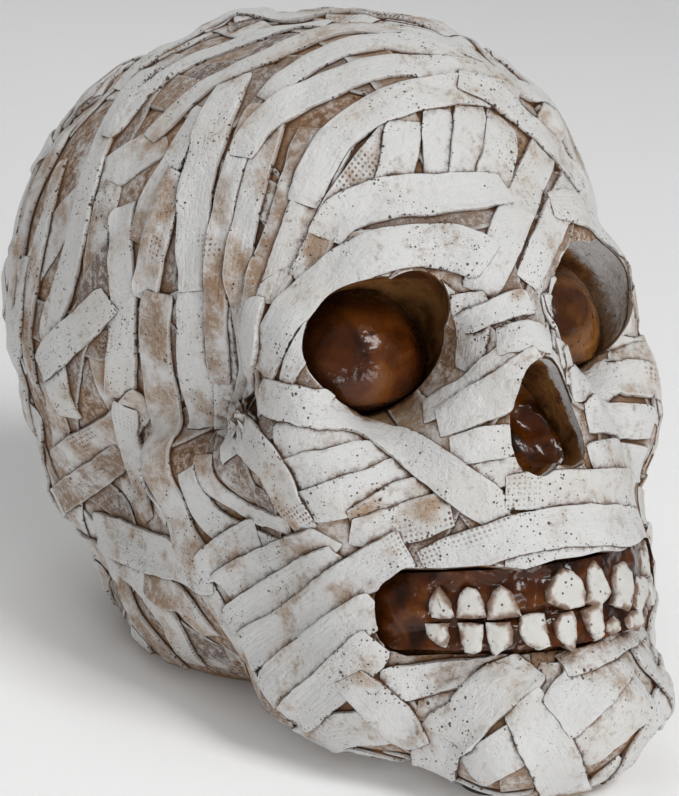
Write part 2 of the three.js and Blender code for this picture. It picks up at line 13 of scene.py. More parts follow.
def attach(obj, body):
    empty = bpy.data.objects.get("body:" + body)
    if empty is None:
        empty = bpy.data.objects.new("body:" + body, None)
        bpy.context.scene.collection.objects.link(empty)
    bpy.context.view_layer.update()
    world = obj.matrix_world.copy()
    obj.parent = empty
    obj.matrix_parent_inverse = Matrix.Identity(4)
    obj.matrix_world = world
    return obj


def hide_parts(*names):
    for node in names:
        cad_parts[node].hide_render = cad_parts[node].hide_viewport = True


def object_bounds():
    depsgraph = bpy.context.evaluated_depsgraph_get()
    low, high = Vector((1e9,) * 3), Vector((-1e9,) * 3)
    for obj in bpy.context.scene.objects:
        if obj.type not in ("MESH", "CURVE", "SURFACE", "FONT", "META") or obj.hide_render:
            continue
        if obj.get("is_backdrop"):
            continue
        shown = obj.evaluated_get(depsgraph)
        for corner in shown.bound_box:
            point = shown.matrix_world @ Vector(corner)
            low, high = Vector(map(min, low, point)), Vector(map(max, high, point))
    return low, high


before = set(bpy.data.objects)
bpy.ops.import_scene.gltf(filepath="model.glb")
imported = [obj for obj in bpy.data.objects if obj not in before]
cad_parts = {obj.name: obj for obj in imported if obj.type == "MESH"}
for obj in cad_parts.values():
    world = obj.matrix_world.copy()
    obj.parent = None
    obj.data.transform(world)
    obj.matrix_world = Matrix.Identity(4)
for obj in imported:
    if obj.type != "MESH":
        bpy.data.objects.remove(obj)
cad_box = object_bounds()
mm = 0.001

# Camera: where the photo was taken from, fitted to the outline and to the places of the eyes, nose and teeth.
# Its axis meets the picture right of and above the middle, because the photo was cropped.
picture = (679, 796)
axis_pixel = (357, 316)
focal_pixels = 2513
view_turn, view_rise = radians(-32.3), radians(16.5)
view_distance = 531.3 * mm
view_target = Vector((0, 0.645, 77.5)) * mm
view_back = Vector((sin(view_turn) * cos(view_rise), -cos(view_turn) * cos(view_rise), sin(view_rise)))


def linked(name, data):
    thing = bpy.data.objects.new(name, data)
    bpy.context.collection.objects.link(thing)
    return thing


camera_data = bpy.data.cameras.new("camera")
camera_data.sensor_width = 36
camera_data.lens = 36 * focal_pixels / picture[1]
camera_data.shift_x = (picture[0] / 2 - axis_pixel[0]) / picture[1]
camera_data.shift_y = (axis_pixel[1] - picture[1] / 2) / picture[1]
camera = linked("camera", camera_data)
camera.location = view_target + view_back * view_distance
camera.rotation_mode = "QUATERNION"
camera.rotation_quaternion = (-view_back).to_track_quat("-Z", "Y")
bpy.context.scene.camera = camera
view_right = Vector((cos(view_turn), sin(view_turn), 0))
view_up = view_back.cross(view_right)

# Studio: a pale sweep of paper, curved up behind, lit by large soft lights and a pale room.
sweep_width, sweep_front, sweep_back, sweep_rise = 3.0, -1.6, 0.9, 1.6
sweep_curve = 0.3


def solid(name, shape):
    mesh = bpy.data.meshes.new(name)
    shape.to_mesh(mesh)
    shape.free()
    return linked(name, mesh)


def material(name):
    made = bpy.data.materials.new(name)
    made.use_nodes = True
    return made, made.node_tree, made.node_tree.nodes["Principled BSDF"]


def faced(shape):
    """Turns a closed shape's faces outward."""
    bmesh.ops.recalc_face_normals(shape, faces=shape.faces)


def rounded(shape, geom, size, steps):
    bmesh.ops.bevel(shape, geom=geom, offset=size, segments=steps, profile=0.5, affect="EDGES", material=-1)


sweep = bmesh.new()
corners = (sweep_front, 0), (sweep_back, 0), (sweep_back, sweep_rise)
side = [sweep.verts.new((-sweep_width / 2, y, z)) for y, z in corners]
edges = [sweep.edges.new(pair) for pair in zip(side, side[1:])]
drawn = bmesh.ops.extrude_edge_only(sweep, edges=edges)["geom"]
far_side = [v for v in drawn if isinstance(v, bmesh.types.BMVert)]
bmesh.ops.translate(sweep, verts=far_side, vec=(sweep_width, 0, 0))
fold = [e for e in sweep.edges if all(v.co.y == sweep_back and v.co.z == 0 for v in e.verts)]
rounded(sweep, fold + [v for e in fold for v in e.verts], sweep_curve, 12)
faced(sweep)
paper = solid("paper", sweep)
paper.data.shade_smooth()
paper_finish, _, shader = material("paper")
shader.inputs["Base Color"].default_value = (0.95, 0.95, 0.95, 1)
shader.inputs["Roughness"].default_value = 0.9
paper.data.materials.append(paper_finish)
paper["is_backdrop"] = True

lamps = [
    ("key", (0.2, -1.1, 1.15), 0.45, 10.0),
    ("top", (-0.15, 0.3, 1.4), 0.9, 3.8),
    ("front", (-0.1, -1.3, 0.1), 0.5, 4.2),
    ("window", (-0.95, -1.1, 0.1), 0.22, 1.2),
]
for name, place, size, power in lamps:
    lamp_data = bpy.data.lights.new(name, "AREA")
    lamp_data.size = size
    lamp_data.energy = power
    lamp = linked(name, lamp_data)
    lamp.location = place
    lamp.rotation_mode = "QUATERNION"
    lamp.rotation_quaternion = (view_target - Vector(place)).to_track_quat("-Z", "Y")
room = bpy.data.worlds.new("room")
room.use_nodes = True
backdrop = room.node_tree.nodes["Background"]
backdrop.inputs["Color"].default_value = (1, 1, 1, 1)
backdrop.inputs["Strength"].default_value = 0.25
bpy.context.scene.world = room
bpy.context.scene.view_settings.view_transform = "Standard"

# Casting: the hollow resin head under the strips, brow ridges, cheekbones, muzzle, jaw and braincase blended
# into one skin. The forms are those of the solid, drawn more finely, and the openings are cut with its sizes.
# Places are shares of half the width, half the length and the height, from the middle of the braincase.
head_tilt = radians(23.3)
head_place = Vector((0, 17.739, 86.125)) * mm
head = Matrix.Translation(head_place) @ Matrix.Rotation(-head_tilt, 4, "X")
half_face, half_length, face_height = 50 * mm, 69 * mm, 96.6 * mm
cranium = np.array((55.2, 69, 52.6)) * mm
face = np.array((50, 69, 96.6)) * mm
jaw = np.array((39.7, 69, 96.6)) * mm
nape = np.array((55.2, 69, 96.6)) * mm
wall, blend = 5 * mm, 10.4 * mm
round_forms = [
    (cranium, (0, 0.025, 0), (1.005, 0.99, 0.975)),
    (cranium, (0, -0.41, 0.03), (0.67, 0.55, 0.74)),
    (cranium, (0, 0.22, 0.22), (0.74, 0.72, 0.83)),
    (cranium, (0.34, 0.3, 0.1), (0.67, 0.7, 0.78)),
    (cranium, (0.36, 0.34, -0.2), (0.68, 0.6, 0.6)),
    (cranium, (0, 0.59, -0.59), (0.93, 0.615, 0.78)),
    (nape, (0, 0.37, -0.648), (0.85, 0.67, 0.327)),
    (face, (0, -0.905, -0.134), (0.21, 0.14, 0.08)),
    (face, (0, -0.92, -0.214), (0.14, 0.125, 0.107)),
    (face, (0, -0.945, -0.357), (0.155, 0.16, 0.107)),
    (face, (0, -0.8, -0.48), (0.41, 0.25, 0.18)),
    (face, (0.6, -0.65, -0.5), (0.29, 0.2, 0.134)),
    (face, (0, -0.77, -0.61), (0.47, 0.285, 0.196)),
    (face, (0, -0.745, -0.786), (0.455, 0.285, 0.143)),
    (face, (0.55, -0.43, -0.75), (0.26, 0.335, 0.3)),
    (face, (0.48, 0, -0.55), (0.48, 0.5, 0.32)),
    (face, (0, -0.375, -0.71), (0.69, 0.625, 0.39)),
    (face, (0, -0.58, -1.01), (0.34, 0.3, 0.145)),
    (face, (0, -0.8, -1.045), (0.43, 0.24, 0.147)),
]
long_forms = [
    (face, (0.17, -0.92, -0.116), (0.41, -0.87, -0.107), 0.11),
    (face, (0.41, -0.87, -0.107), (0.69, -0.75, -0.19), 0.093),
    (face, (0.69, -0.75, -0.19), (0.73, -0.71, -0.375), 0.084),
    (face, (0.7, -0.64, -0.18), (0.73, -0.6, -0.36), 0.11),
    (face, (0.79, -0.575, -0.446), (0.95, -0.1, -0.39), 0.095),
    (jaw, (0.82, -0.33, -0.872), (0.39, -0.775, -1.06), 0.2),
    (jaw, (0.99, -0.1, -0.446), (0.84, -0.225, -0.875), 0.19),
]
sight = cranium * (0, -0.275, -0.79)
relief = 1.2 * mm
skin_detail, chamber_detail = 6, 5
walk_start, walk_steps, walk_share, near_enough = 2.4, 90, 0.75, 0.01 * mm
paint_white, paint_cream, paint_tan = (0.73, 0.725, 0.715, 1), (0.60, 0.53, 0.42, 1), (0.36, 0.20, 0.085, 1)
wash_brown, wash_dark, pit_colour = (0.14, 0.06, 0.022, 1), (0.034, 0.015, 0.007, 1), (0.035, 0.018, 0.01, 1)
tan_deep = (0.11, 0.05, 0.02, 1)
glaze_light, glaze_dark = (0.33, 0.15, 0.045, 1), (0.10, 0.034, 0.008, 1)


def add(tree, kind, inputs, output=0, **settings):
    """A new shader node, its inputs linked or set. Gives back one of its outputs."""
    node = tree.nodes.new("ShaderNode" + kind)
    for name, value in settings.items():
        setattr(node, name, value)
    for name, value in inputs.items():
        if isinstance(value, bpy.types.NodeSocket):
            tree.links.new(value, node.inputs[name])
        else:
            node.inputs[name].default_value = value
    return node.outputs[output]


def mixed(share, first, second):
    return add(share.id_data, "Mix", {0: share, 6: first, 7: second}, output=2, data_type="RGBA")


def ranged(value, low, high, start=0.0, end=1.0):
    inputs = {0: value, 1: low, 2: high, 3: start, 4: end}
    return add(value.id_data, "MapRange", inputs, interpolation_type="SMOOTHSTEP")


def sums(operation, first, second):
    return add(first.id_data, "Math", {0: first, 1: second}, operation=operation)


def times(first, second):
    return sums("MULTIPLY", first, second)


def plus(first, second):
    return sums("ADD", first, second)


def less(first, second):
    return sums("SUBTRACT", first, second)


def greater(first, second):
    return sums("MAXIMUM", first, second)


def millimetres(tree):
    places = add(tree, "TexCoord", {}, output=3)
    return add(tree, "VectorMath", {0: places, 3: 1 / mm}, operation="SCALE")


def stretched(places, x, y):
    return add(places.id_data, "VectorMath", {0: places, 1: (x, y, 0)}, operation="MULTIPLY")


def noise(places, scale, detail=2.0, roughness=0.5):
    inputs = {"Vector": places, "Scale": scale, "Detail": detail, "Roughness": roughness}
    return add(places.id_data, "TexNoise", inputs)


def openness(tree, distance):
    return add(tree, "AmbientOcclusion", {"Distance": distance}, output=1, samples=6)


def point_value(tree, name):
    return add(tree, "Attribute", {}, output=2, attribute_name=name)


def colour_and_finish(shader, colour, roughness, height, strength, distance=1 * mm):
    """Links a shader's colour, its roughness and a bump of a given height. Gives back the bump."""
    tree = colour.id_data
    tree.links.new(colour, shader.inputs["Base Color"])
    tree.links.new(roughness, shader.inputs["Roughness"])
    bump = add(tree, "Bump", {"Height": height, "Strength": strength, "Distance": distance})
    tree.links.new(bump, shader.inputs["Normal"])
    return bump


def pits(places, scale, least, cluster):
    """Round bubble holes of many sizes: 1 in a hole. Cells with a low random number have none."""
    tree, cells = places.id_data, {"Vector": places, "Scale": scale}
    distance = add(tree, "TexVoronoi", cells)
    luck = add(tree, "SeparateColor", {0: add(tree, "TexVoronoi", cells, output=1)})
    size = times(times(less(luck, least), 0.42), cluster)
    return ranged(less(distance, size), 0.012, -0.012)


def painted(name, bare):
    """Off-white paint rubbed over with brown wash, which stays in the folds and the bubble holes. Bare is 1
    where the wash was never rubbed off. Point values: edge (over 1 on a strip's sides), soaked (how much wash
    a strip kept) and glaze (amber)."""
    finish, tree, shader = material(name)
    places = millimetres(tree)
    cloth = add(tree, "UVMap", {}, uv_map="cloth")
    edge, glaze, soaked = (point_value(tree, value) for value in ("edge", "glaze", "soaked"))
    cloudy = noise(places, 0.055, 3, 0.6)
    patchy = noise(places, 0.11, 4, 0.62)
    fine = noise(places, 0.7, 4, 0.65)
    grain = noise(places, 3.2, 3, 0.6)
    gritty = ranged(plus(fine, times(grain, 0.5)), 0.6, 0.8, 0.35, 1)
    colour = mixed(ranged(cloudy, 0.45, 0.75, 0, 0.4), paint_white, paint_cream)
    stained = plus(patchy, times(soaked, 0.32))
    stains = times(ranged(stained, 0.6 - 0.32 * bare, 0.86 - 0.32 * bare), gritty)
    browner = mixed(ranged(fine, 0.3, 0.7, 0.2, 0.9), paint_tan, wash_brown)
    browned = browner if bare else mixed(ranged(soaked, 0.5, 1.5), paint_tan, tan_deep)
    colour = mixed(times(stains, 0.84 + 0.11 * bare), colour, browned)

    open_wide = openness(tree, 4 * mm)
    open_near = openness(tree, 1.2 * mm)
    ragged = ranged(fine, 0.3, 0.7, -0.14, 0.14)
    drained = plus(ragged, ranged(patchy, 0.3, 0.7, 0.16, -0.14))
    wash = ranged(plus(open_wide, drained), 0.94, 0.56)
    colour = mixed(times(wash, 0.95), colour, mixed(fine, paint_tan, wash_brown))
    crease = ranged(plus(open_near, ragged), 0.9, 0.64)
    colour = mixed(times(crease, 0.92), colour, mixed(patchy, wash_dark, wash_brown))
    side = times(ranged(edge, 1.0, 1.14), ranged(fine, 0.35, 0.6, 0.35, 1))
    colour = mixed(side, colour, mixed(ranged(patchy, 0.4, 0.6), wash_dark, wash_brown))
    # Whiter along the strips' raised rims: partly paint rubbed clean there, partly a painted highlight.
    rim = times(ranged(edge, 0.8, 0.97), ranged(edge, 1.15, 1.02))
    colour = mixed(times(rim, 0.5), colour, paint_white)

    cluster = ranged(noise(places, 0.09, 2), 0.42, 0.6, 0.2, 1)
    cluster = plus(plus(cluster, times(rim, 0.5)), times(crease, 0.9))
    holes = pits(places, 0.42, 0.62, cluster)
    for scale in (1.0, 1.7):
        holes = greater(holes, pits(places, scale, 0.33, cluster))
    if not bare:
        holes = greater(holes, pits(stretched(cloth, 1.5, 0.55), 0.9, 0.64, cluster))
    colour = mixed(times(holes, 0.88), colour, pit_colour)

    waves = add(tree, "VectorMath", {0: stretched(cloth, pi, pi)}, operation="SINE")
    waves = add(tree, "SeparateXYZ", {0: waves}).node.outputs
    weave = sums("ABSOLUTE", times(waves[0], waves[1]), 0)
    weave = times(weave, ranged(noise(places, 0.06, 1), 0.62, 0.67))
    threaded = times(ranged(weave, 0.5, 0.8), ranged(fine, 0.35, 0.6, 0.2, 0.9))
    threaded = times(threaded, ranged(soaked, 0.05, 0.5))
    colour = mixed(threaded, colour, wash_brown)
    strands = noise(stretched(cloth, 0.09, 1.5), 1.0, 3, 0.6)
    strands = times(strands, ranged(noise(places, 0.04, 1), 0.4, 0.6, 0.25, 1))

    amber = mixed(ranged(noise(places, 0.16, 3, 0.6), 0.35, 0.65), glaze_dark, glaze_light)
    amber = mixed(times(holes, 0.9), amber, wash_dark)
    fading = plus(times(less(patchy, 0.5), 1.5), less(fine, 0.5))
    colour = mixed(ranged(plus(glaze, fading), 0.3, 0.6), colour, amber)
    shader.inputs["Specular IOR Level"].default_value = 0.22

    height = times(noise(places, 0.3, 3, 0.55), 0.7)
    for part, share in ((grain, 0.26), (fine, 0.6), (strands, 0.5), (weave, -0.1), (holes, -0.35)):
        height = plus(height, times(part, share))
    colour_and_finish(shader, colour, ranged(fine, 0.3, 0.7, 0.5, 0.68), height, 0.9)
    return finish


def bone_depth(points):
    """Distance from points to the blended forms, negative inside. Each form is on both sides."""
    depth = np.full(len(points), 1.0)
    found = []
    for unit, at, radii in round_forms:
        for side in (1, -1)[: 2 if at[0] else 1]:
            radius = unit * radii
            near = (points - unit * at * (side, 1, 1)) / radius
            length = np.linalg.norm(near, axis=1)
            found.append(length * (length - 1) / np.linalg.norm(near / radius, axis=1))
    for unit, start, end, radius in long_forms:
        for side in (1, -1):
            low, high = unit * start * (side, 1, 1), unit * end * (side, 1, 1)
            way = high - low
            along = np.clip((points - low) @ way / (way @ way), 0, 1)
            found.append(np.linalg.norm(points - low - along[:, None] * way, axis=1) - radius * unit[0])
    for other in found:
        overlap = np.maximum(blend - np.abs(depth - other), 0)
        depth = np.minimum(depth, other) - overlap**2 / (4 * blend)
    return depth


def placed(shape, matrix):
    bmesh.ops.transform(shape, verts=shape.verts, matrix=matrix)
    return shape


def skin(detail, inset):
    """A ball whose points have walked in until they lie a given depth under the bone forms."""
    ball = bmesh.new()
    bmesh.ops.create_icosphere(ball, subdivisions=detail, radius=1)
    ways = np.array([v.co for v in ball.verts])
    ways /= np.linalg.norm(ways, axis=1)[:, None]
    reach = np.full(len(ways), walk_start * half_length)
    moving = np.arange(len(ways))
    for _ in range(walk_steps):
        left = bone_depth(sight + ways[moving] * reach[moving, None]) + inset
        reach[moving] -= left * walk_share
        moving = moving[left > near_enough]
        if not len(moving):
            break
    for vert, place in zip(ball.verts, sight + ways * reach[:, None]):
        vert.co = place
    placed(ball, head)
    ball.normal_update()
    return ball


# Sockets: two leaning ovals on each side, one wide and one that opens it towards the brow.
socket_ovals = [((0.455, -0.735, -0.243), (0.31, 0.325, 0.125)), ((0.33, -0.8, -0.2), (0.19, 0.25, 0.082))]
socket_down, socket_out, socket_rounds = radians(-14), radians(17), 48
nose_top, nose_wide, nose_foot, nose_spine = -0.345, -0.5, -0.565, -0.55
nose_half, nose_lobe, nose_back = 0.165, 0.09, -0.86
mouth_half, mouth_end, mouth_back = 0.67, 0.85, -0.56
mouth_top, mouth_bottom = -71.66 * mm, -87.91 * mm
mouth_lift, mouth_drop, mouth_skew, bite = 2.9 * mm, 3.9 * mm, radians(3.5), -80.66 * mm
nose_ragged, mouth_ragged, ragged_reach = 0.6 * mm, 1.3 * mm, 2.5 * mm
curve_steps, ring_step, rings = 10, 1.8 * mm, 15


def oval(side, at, radii, grow):
    turn = Matrix.Rotation(socket_down, 4, "X") @ Matrix.Rotation(side * socket_out, 4, "Z")
    size = Vector(face * radii) + Vector((grow, grow, grow))
    place = head @ Matrix.Translation(face * at * (side, 1, 1)) @ turn @ Matrix.Diagonal((*size, 1))
    shape = bmesh.new()
    bmesh.ops.create_uvsphere(shape, u_segments=2 * socket_rounds, v_segments=socket_rounds, radius=1)
    return placed(shape, place)


def curve(points):
    """Corners joined by curves: start, then pairs of a handle and an end."""
    drawn = [Vector(points[0])]
    for handle, end in zip(points[1::2], points[2::2]):
        start = drawn[-1].copy()
        for i in range(1, curve_steps + 1):
            t = i / curve_steps
            drawn.append(start * (1 - t) ** 2 + Vector(handle) * (2 * t * (1 - t)) + Vector(end) * t * t)
    return drawn


def nose_outline(shrink):
    half, lobe = nose_half * half_face - shrink, nose_lobe * half_face
    top, wide = nose_top * face_height - shrink, nose_wide * face_height
    foot, spine = nose_foot * face_height + shrink, nose_spine * face_height + shrink
    right = curve([
        (0, top), (half * 0.75, top), (half, wide), (half, foot), (lobe, foot), (lobe / 3, foot), (0, spine),
    ])
    return right + [Vector((-p.x, p.y)) for p in reversed(right[1:-1])]


def mouth_outline(shrink):
    half, top, bottom = mouth_half * half_face - shrink, mouth_top - shrink, mouth_bottom + shrink
    end, middle = mouth_end * half, (top + bottom + mouth_lift + mouth_drop) / 2
    return curve([
        (end, top + mouth_lift), (0, top - mouth_lift), (-end, top + mouth_lift), (-half, top + mouth_lift),
        (-half, middle), (-half, bottom + mouth_drop), (-end, bottom + mouth_drop), (0, bottom - mouth_drop),
        (end, bottom + mouth_drop), (half, bottom + mouth_drop), (half, middle), (half, top + mouth_lift),
        (end, top + mouth_lift),
    ])[:-1]


mouth_turn = Matrix.Translation((0, 0, bite)) @ Matrix.Rotation(mouth_skew, 4, "Y")
mouth_turn = mouth_turn @ Matrix.Translation((0, 0, -bite))


def pushed(shape, faces):
    """Extrudes faces and gives back the new points."""
    made = bmesh.ops.extrude_face_region(shape, geom=faces)["geom"]
    return [v for v in made if isinstance(v, bmesh.types.BMVert)]


def prism(outline, back, turn, ragged=0.0):
    """An outline seen from the front, pushed straight back into the face, with rings of points round it."""
    shape = bmesh.new()
    corners = [shape.verts.new((p.x, -2 * half_length, p.y)) for p in outline]
    for vert in corners:
        vert.co.z += bumps.noise(vert.co / ragged_reach) * ragged
    ends = pushed(shape, [shape.faces.new(corners)])
    bmesh.ops.translate(shape, verts=ends, vec=(0, back + 2 * half_length, 0))
    for i in range(1, rings + 1):
        whole = shape.verts[:] + shape.edges[:] + shape.faces[:]
        bmesh.ops.bisect_plane(shape, geom=whole, plane_co=(0, back - ring_step * i, 0), plane_no=(0, 1, 0))
    faced(shape)
    bmesh.ops.triangulate(shape, faces=[f for f in shape.faces if len(f.verts) > 4])
    return placed(shape, head @ turn)


def cylinder(radius, low, high, at, segments=96):
    shape = bmesh.new()
    sizes = {"segments": segments, "radius1": radius, "radius2": radius, "depth": high - low}
    bmesh.ops.create_cone(shape, cap_ends=True, **sizes)
    bmesh.ops.translate(shape, verts=shape.verts, vec=(0, at, (low + high) / 2))
    return shape


def block(low, high):
    shape = bmesh.new()
    bmesh.ops.create_cube(shape, size=1)
    bmesh.ops.scale(shape, verts=shape.verts, vec=Vector(high) - Vector(low))
    bmesh.ops.translate(shape, verts=shape.verts, vec=(Vector(high) + Vector(low)) / 2)
    return shape


def below(level):
    return block((-0.2, -0.2, -0.1), (0.2, 0.2, level))


def combine(target, tools, operation):
    """Cuts, joins or intersects a mesh object with others, and keeps the result as its mesh."""
    for tool in tools:
        step = target.modifiers.new("step", "BOOLEAN")
        step.solver = "MANIFOLD"
        step.operation = operation
        step.object = tool
    made = bpy.data.meshes.new_from_object(target.evaluated_get(bpy.context.evaluated_depsgraph_get()))
    target.modifiers.clear()
    old = target.data
    target.data = made
    bpy.data.meshes.remove(old)
    return target


def drop(*things):
    for thing in things:
        old = thing.data
        bpy.data.objects.remove(thing)
        bpy.data.meshes.remove(old)


base_level = 1.95 * mm
plug_place, hole_radius, hole_top = 20.5 * mm, 15 * mm, 12 * mm
flange_radius, flange_depth, under_base = 18.35 * mm, 2.35 * mm, -10 * mm
slot_half, slot_low, slot_high = 17 * mm, 113.625 * mm, 118.625 * mm
slot_front, slot_back = 30 * mm, 150 * mm
muzzle_back, muzzle_top = -0.46 * half_length, -0.3 * face_height
gum_powers = (0, 2, 4, 6)
gum_marks = np.array(((0, -0.95), (0.3, -0.875), (0.52, -0.715), (0.66, -0.56)))
gum_curve = np.linalg.solve(gum_marks[:, :1] ** gum_powers, gum_marks[:, 1])
gum_end, gum_low, gum_high = 0.66, -96 * mm, -62 * mm


def beside_gum(x, out):
    """A point beside the curve of the gum, x a share of half the face, and a distance out of the gum."""
    y = sum(factor * x**power for factor, power in zip(gum_curve, gum_powers))
    slope = sum(factor * power * x ** (power - 1) for factor, power in zip(gum_curve, gum_powers) if power)
    away = Vector((slope * half_length, -half_face)).normalized()
    return Vector((x * half_face, y * half_length)) + away * out


def gum_band(columns, rows, near, far, lumps):
    """A solid that follows the gum between two distances out of it, its front raised by lumps."""
    shape = bmesh.new()
    bmesh.ops.create_grid(shape, x_segments=columns, y_segments=rows, size=1)
    fronts = list(shape.verts)
    backs = pushed(shape, list(shape.faces))
    for verts, out in ((fronts, far), (backs, near)):
        for vert in verts:
            x, z = vert.co.x * gum_end, gum_low + (vert.co.y + 1) / 2 * (gum_high - gum_low)
            raised = lumps(Vector((x * half_face, 0, z))) if out == far else 0
            vert.co = (*beside_gum(x, out + raised), z)
    faced(shape)
    return placed(shape, head @ mouth_turn)


def both_sockets(grow):
    sockets = []
    for side in (1, -1):
        pair = [solid("oval", oval(side, at, radii, grow)) for at, radii in socket_ovals]
        sockets.append(combine(pair[0], pair[1:], "UNION"))
        drop(pair[1])
    return sockets


def openings(grow):
    """What cuts the sockets, the nose, the mouth, the slot and, last, the flat base."""
    slot_low_corner = (-slot_half - grow, slot_front, slot_low - grow)
    shapes = {
        "nose_cut": prism(nose_outline(-grow), nose_back * half_length, Matrix(), nose_ragged),
        "mouth_cut": prism(mouth_outline(-grow), mouth_back * half_length, mouth_turn, mouth_ragged),
        "slot_cut": block(slot_low_corner, (slot_half + grow, slot_back, slot_high + grow)),
        "base_cut": below(base_level + grow),
    }
    return both_sockets(grow) + [solid(name, shape) for name, shape in shapes.items()]


*sockets, nose_cut, mouth_cut, slot_cut, base_cut = openings(0)
gum_body = solid("gum_body", gum_band(60, 1, -half_length, 0, lambda place: 0))
combine(mouth_cut, [gum_body], "DIFFERENCE")

muzzle_low = (-2 * half_face, -3 * half_length, -2 * face_height)
muzzle_block = block(muzzle_low, (2 * half_face, muzzle_back, muzzle_top))
placed(muzzle_block, head)
kept_solid = [*both_sockets(wall), solid("muzzle", muzzle_block), solid("floor", below(base_level + wall))]
chamber = combine(solid("chamber", skin(chamber_detail, wall)), kept_solid, "DIFFERENCE")

bare_skin = skin(skin_detail, relief)
skin_tree = BVHTree.FromBMesh(bare_skin)
casting = solid("casting", bare_skin)
hole_cut = solid("hole_cut", cylinder(hole_radius, under_base, hole_top, plug_place))
flange_cut = solid("flange_cut", cylinder(flange_radius, under_base, base_level + flange_depth, plug_place))
cuts = [chamber, *sockets, nose_cut, mouth_cut, slot_cut, hole_cut, flange_cut, base_cut]
combine(casting, cuts, "DIFFERENCE")
drop(gum_body, *kept_solid, *cuts)

# The amber glazes the walls of the openings, from a depth where it starts to one where it covers them, in
# millimetres. The left socket keeps more of its paint.
spots = np.array([v.co for v in casting.data.vertices])
upright = (spots - np.array(head_place)) @ np.array(head.to_3x3())
shares = upright / (half_face, half_length, face_height)
wide = np.abs(shares[:, 0])
faces_out = (shares[:, 1] < -0.5) & (wide < 0.85) & (spots[:, 2] > base_level + 6 * mm)
mouth_part = faces_out & (shares[:, 2] < -0.7)
nose_part = faces_out & (wide < 0.2) & ~mouth_part
left_part = faces_out & (shares[:, 0] > 0.2) & ~mouth_part
glaze, clean = np.zeros(len(spots)), np.zeros(len(spots))
for number in np.flatnonzero(faces_out):
    deep = skin_tree.find_nearest(Vector(spots[number]))[3] / mm
    start, full = 1, 4.5
    for part, part_start, part_full in ((mouth_part, 0.4, 1.6), (nose_part, 0.8, 3), (left_part, 4, 9)):
        if part[number]:
            start, full = part_start, part_full
    glaze[number] = min(max((deep - start) / (full - start), 0), 1)
    clean[number] = -1.4 if deep > 0.3 else 0
casting.data.attributes.new("glaze", "FLOAT", "POINT").data.foreach_set("value", glaze)
casting.data.attributes.new("soaked", "FLOAT", "POINT").data.foreach_set("value", clean)
casting.data.materials.clear()
casting.data.materials.append(painted("casting_paint", 1))
casting.data.shade_smooth()
casting.data.set_sharp_from_angle(angle=radians(40))
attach(casting, "bank")
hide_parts("skull_shell")

# Bandage strips: cloth strips modelled on the head before it was cast, laid one over another, so each is a
# solid with its own edges. Those on the side that the photo shows were traced: a width in pixels, then
# x and y of the pixels that its middle runs through. They are laid in this order, and later ones lie on top.
strip_thickness, strip_step, strip_depth, stack_limit = 0.9 * mm, 1.0 * mm, 1.3 * mm, 4.5 * mm
strip_spread = 1.16 / focal_pixels
reach_over, column_step, drift_most, fray_most, fold_most = 8 * mm, 1.15 * mm, 0.35 * mm, 0.2 * mm, 0.13 * mm
edge_share, lip_share, lip_spread, lip_rise, edge_thin = 0.955, 0.86, 0.1, 0.24, 0.55
side_strips = [
    (34, 197, 275, 198, 330, 199, 380, 202, 430),
    (22, 224, 280, 226, 330, 229, 385, 222, 440),
    (24, 76, 126, 52, 165, 32, 210, 22, 270, 20, 330),
    (22, 64, 160, 52, 215, 40, 265, 30, 330, 38, 390),
    (24, 14, 255, 14, 310, 24, 370, 40, 430),
    (30, 58, 345, 60, 385, 72, 415),
    (30, 152, 72, 115, 122, 93, 185, 82, 235, 66, 290, 50, 345),
    (30, 126, 205, 129, 290, 126, 345, 122, 400),
    (30, 42, 370, 78, 335, 116, 298),
    (32, 60, 468, 80, 452, 105, 436, 130, 418, 148, 396),
    (26, 64, 500, 85, 482, 108, 466, 128, 448),
    (28, 128, 400, 135, 440, 141, 485, 150, 520),
    (24, 84, 535, 105, 575, 135, 610, 163, 643, 190, 672),
    (30, 108, 540, 150, 585, 176, 622, 196, 664),
    (30, 150, 580, 185, 598, 214, 635),
    (38, 98, 528, 140, 546, 178, 560, 214, 574),
    (26, 206, 112, 178, 162, 152, 205, 143, 245),
    (28, 184, 175, 165, 225, 152, 270, 146, 300),
    (34, 160, 292, 162, 380, 161, 440, 168, 490, 184, 535, 208, 572),
    (32, 243, 80, 218, 133, 200, 185, 194, 235, 196, 290),
    (20, 262, 105, 241, 160, 225, 212, 218, 262, 221, 320, 225, 380),
    (22, 285, 85, 270, 140, 256, 195, 243, 235, 238, 272, 247, 318, 253, 370, 238, 425),
    (24, 312, 128, 296, 185, 281, 232, 264, 268, 256, 312, 258, 372, 264, 415),
    (26, 425, 97, 375, 114, 342, 138, 322, 175, 303, 222, 285, 265, 270, 305),
    (26, 415, 118, 385, 145, 360, 178, 340, 212, 322, 250, 300, 285),
]
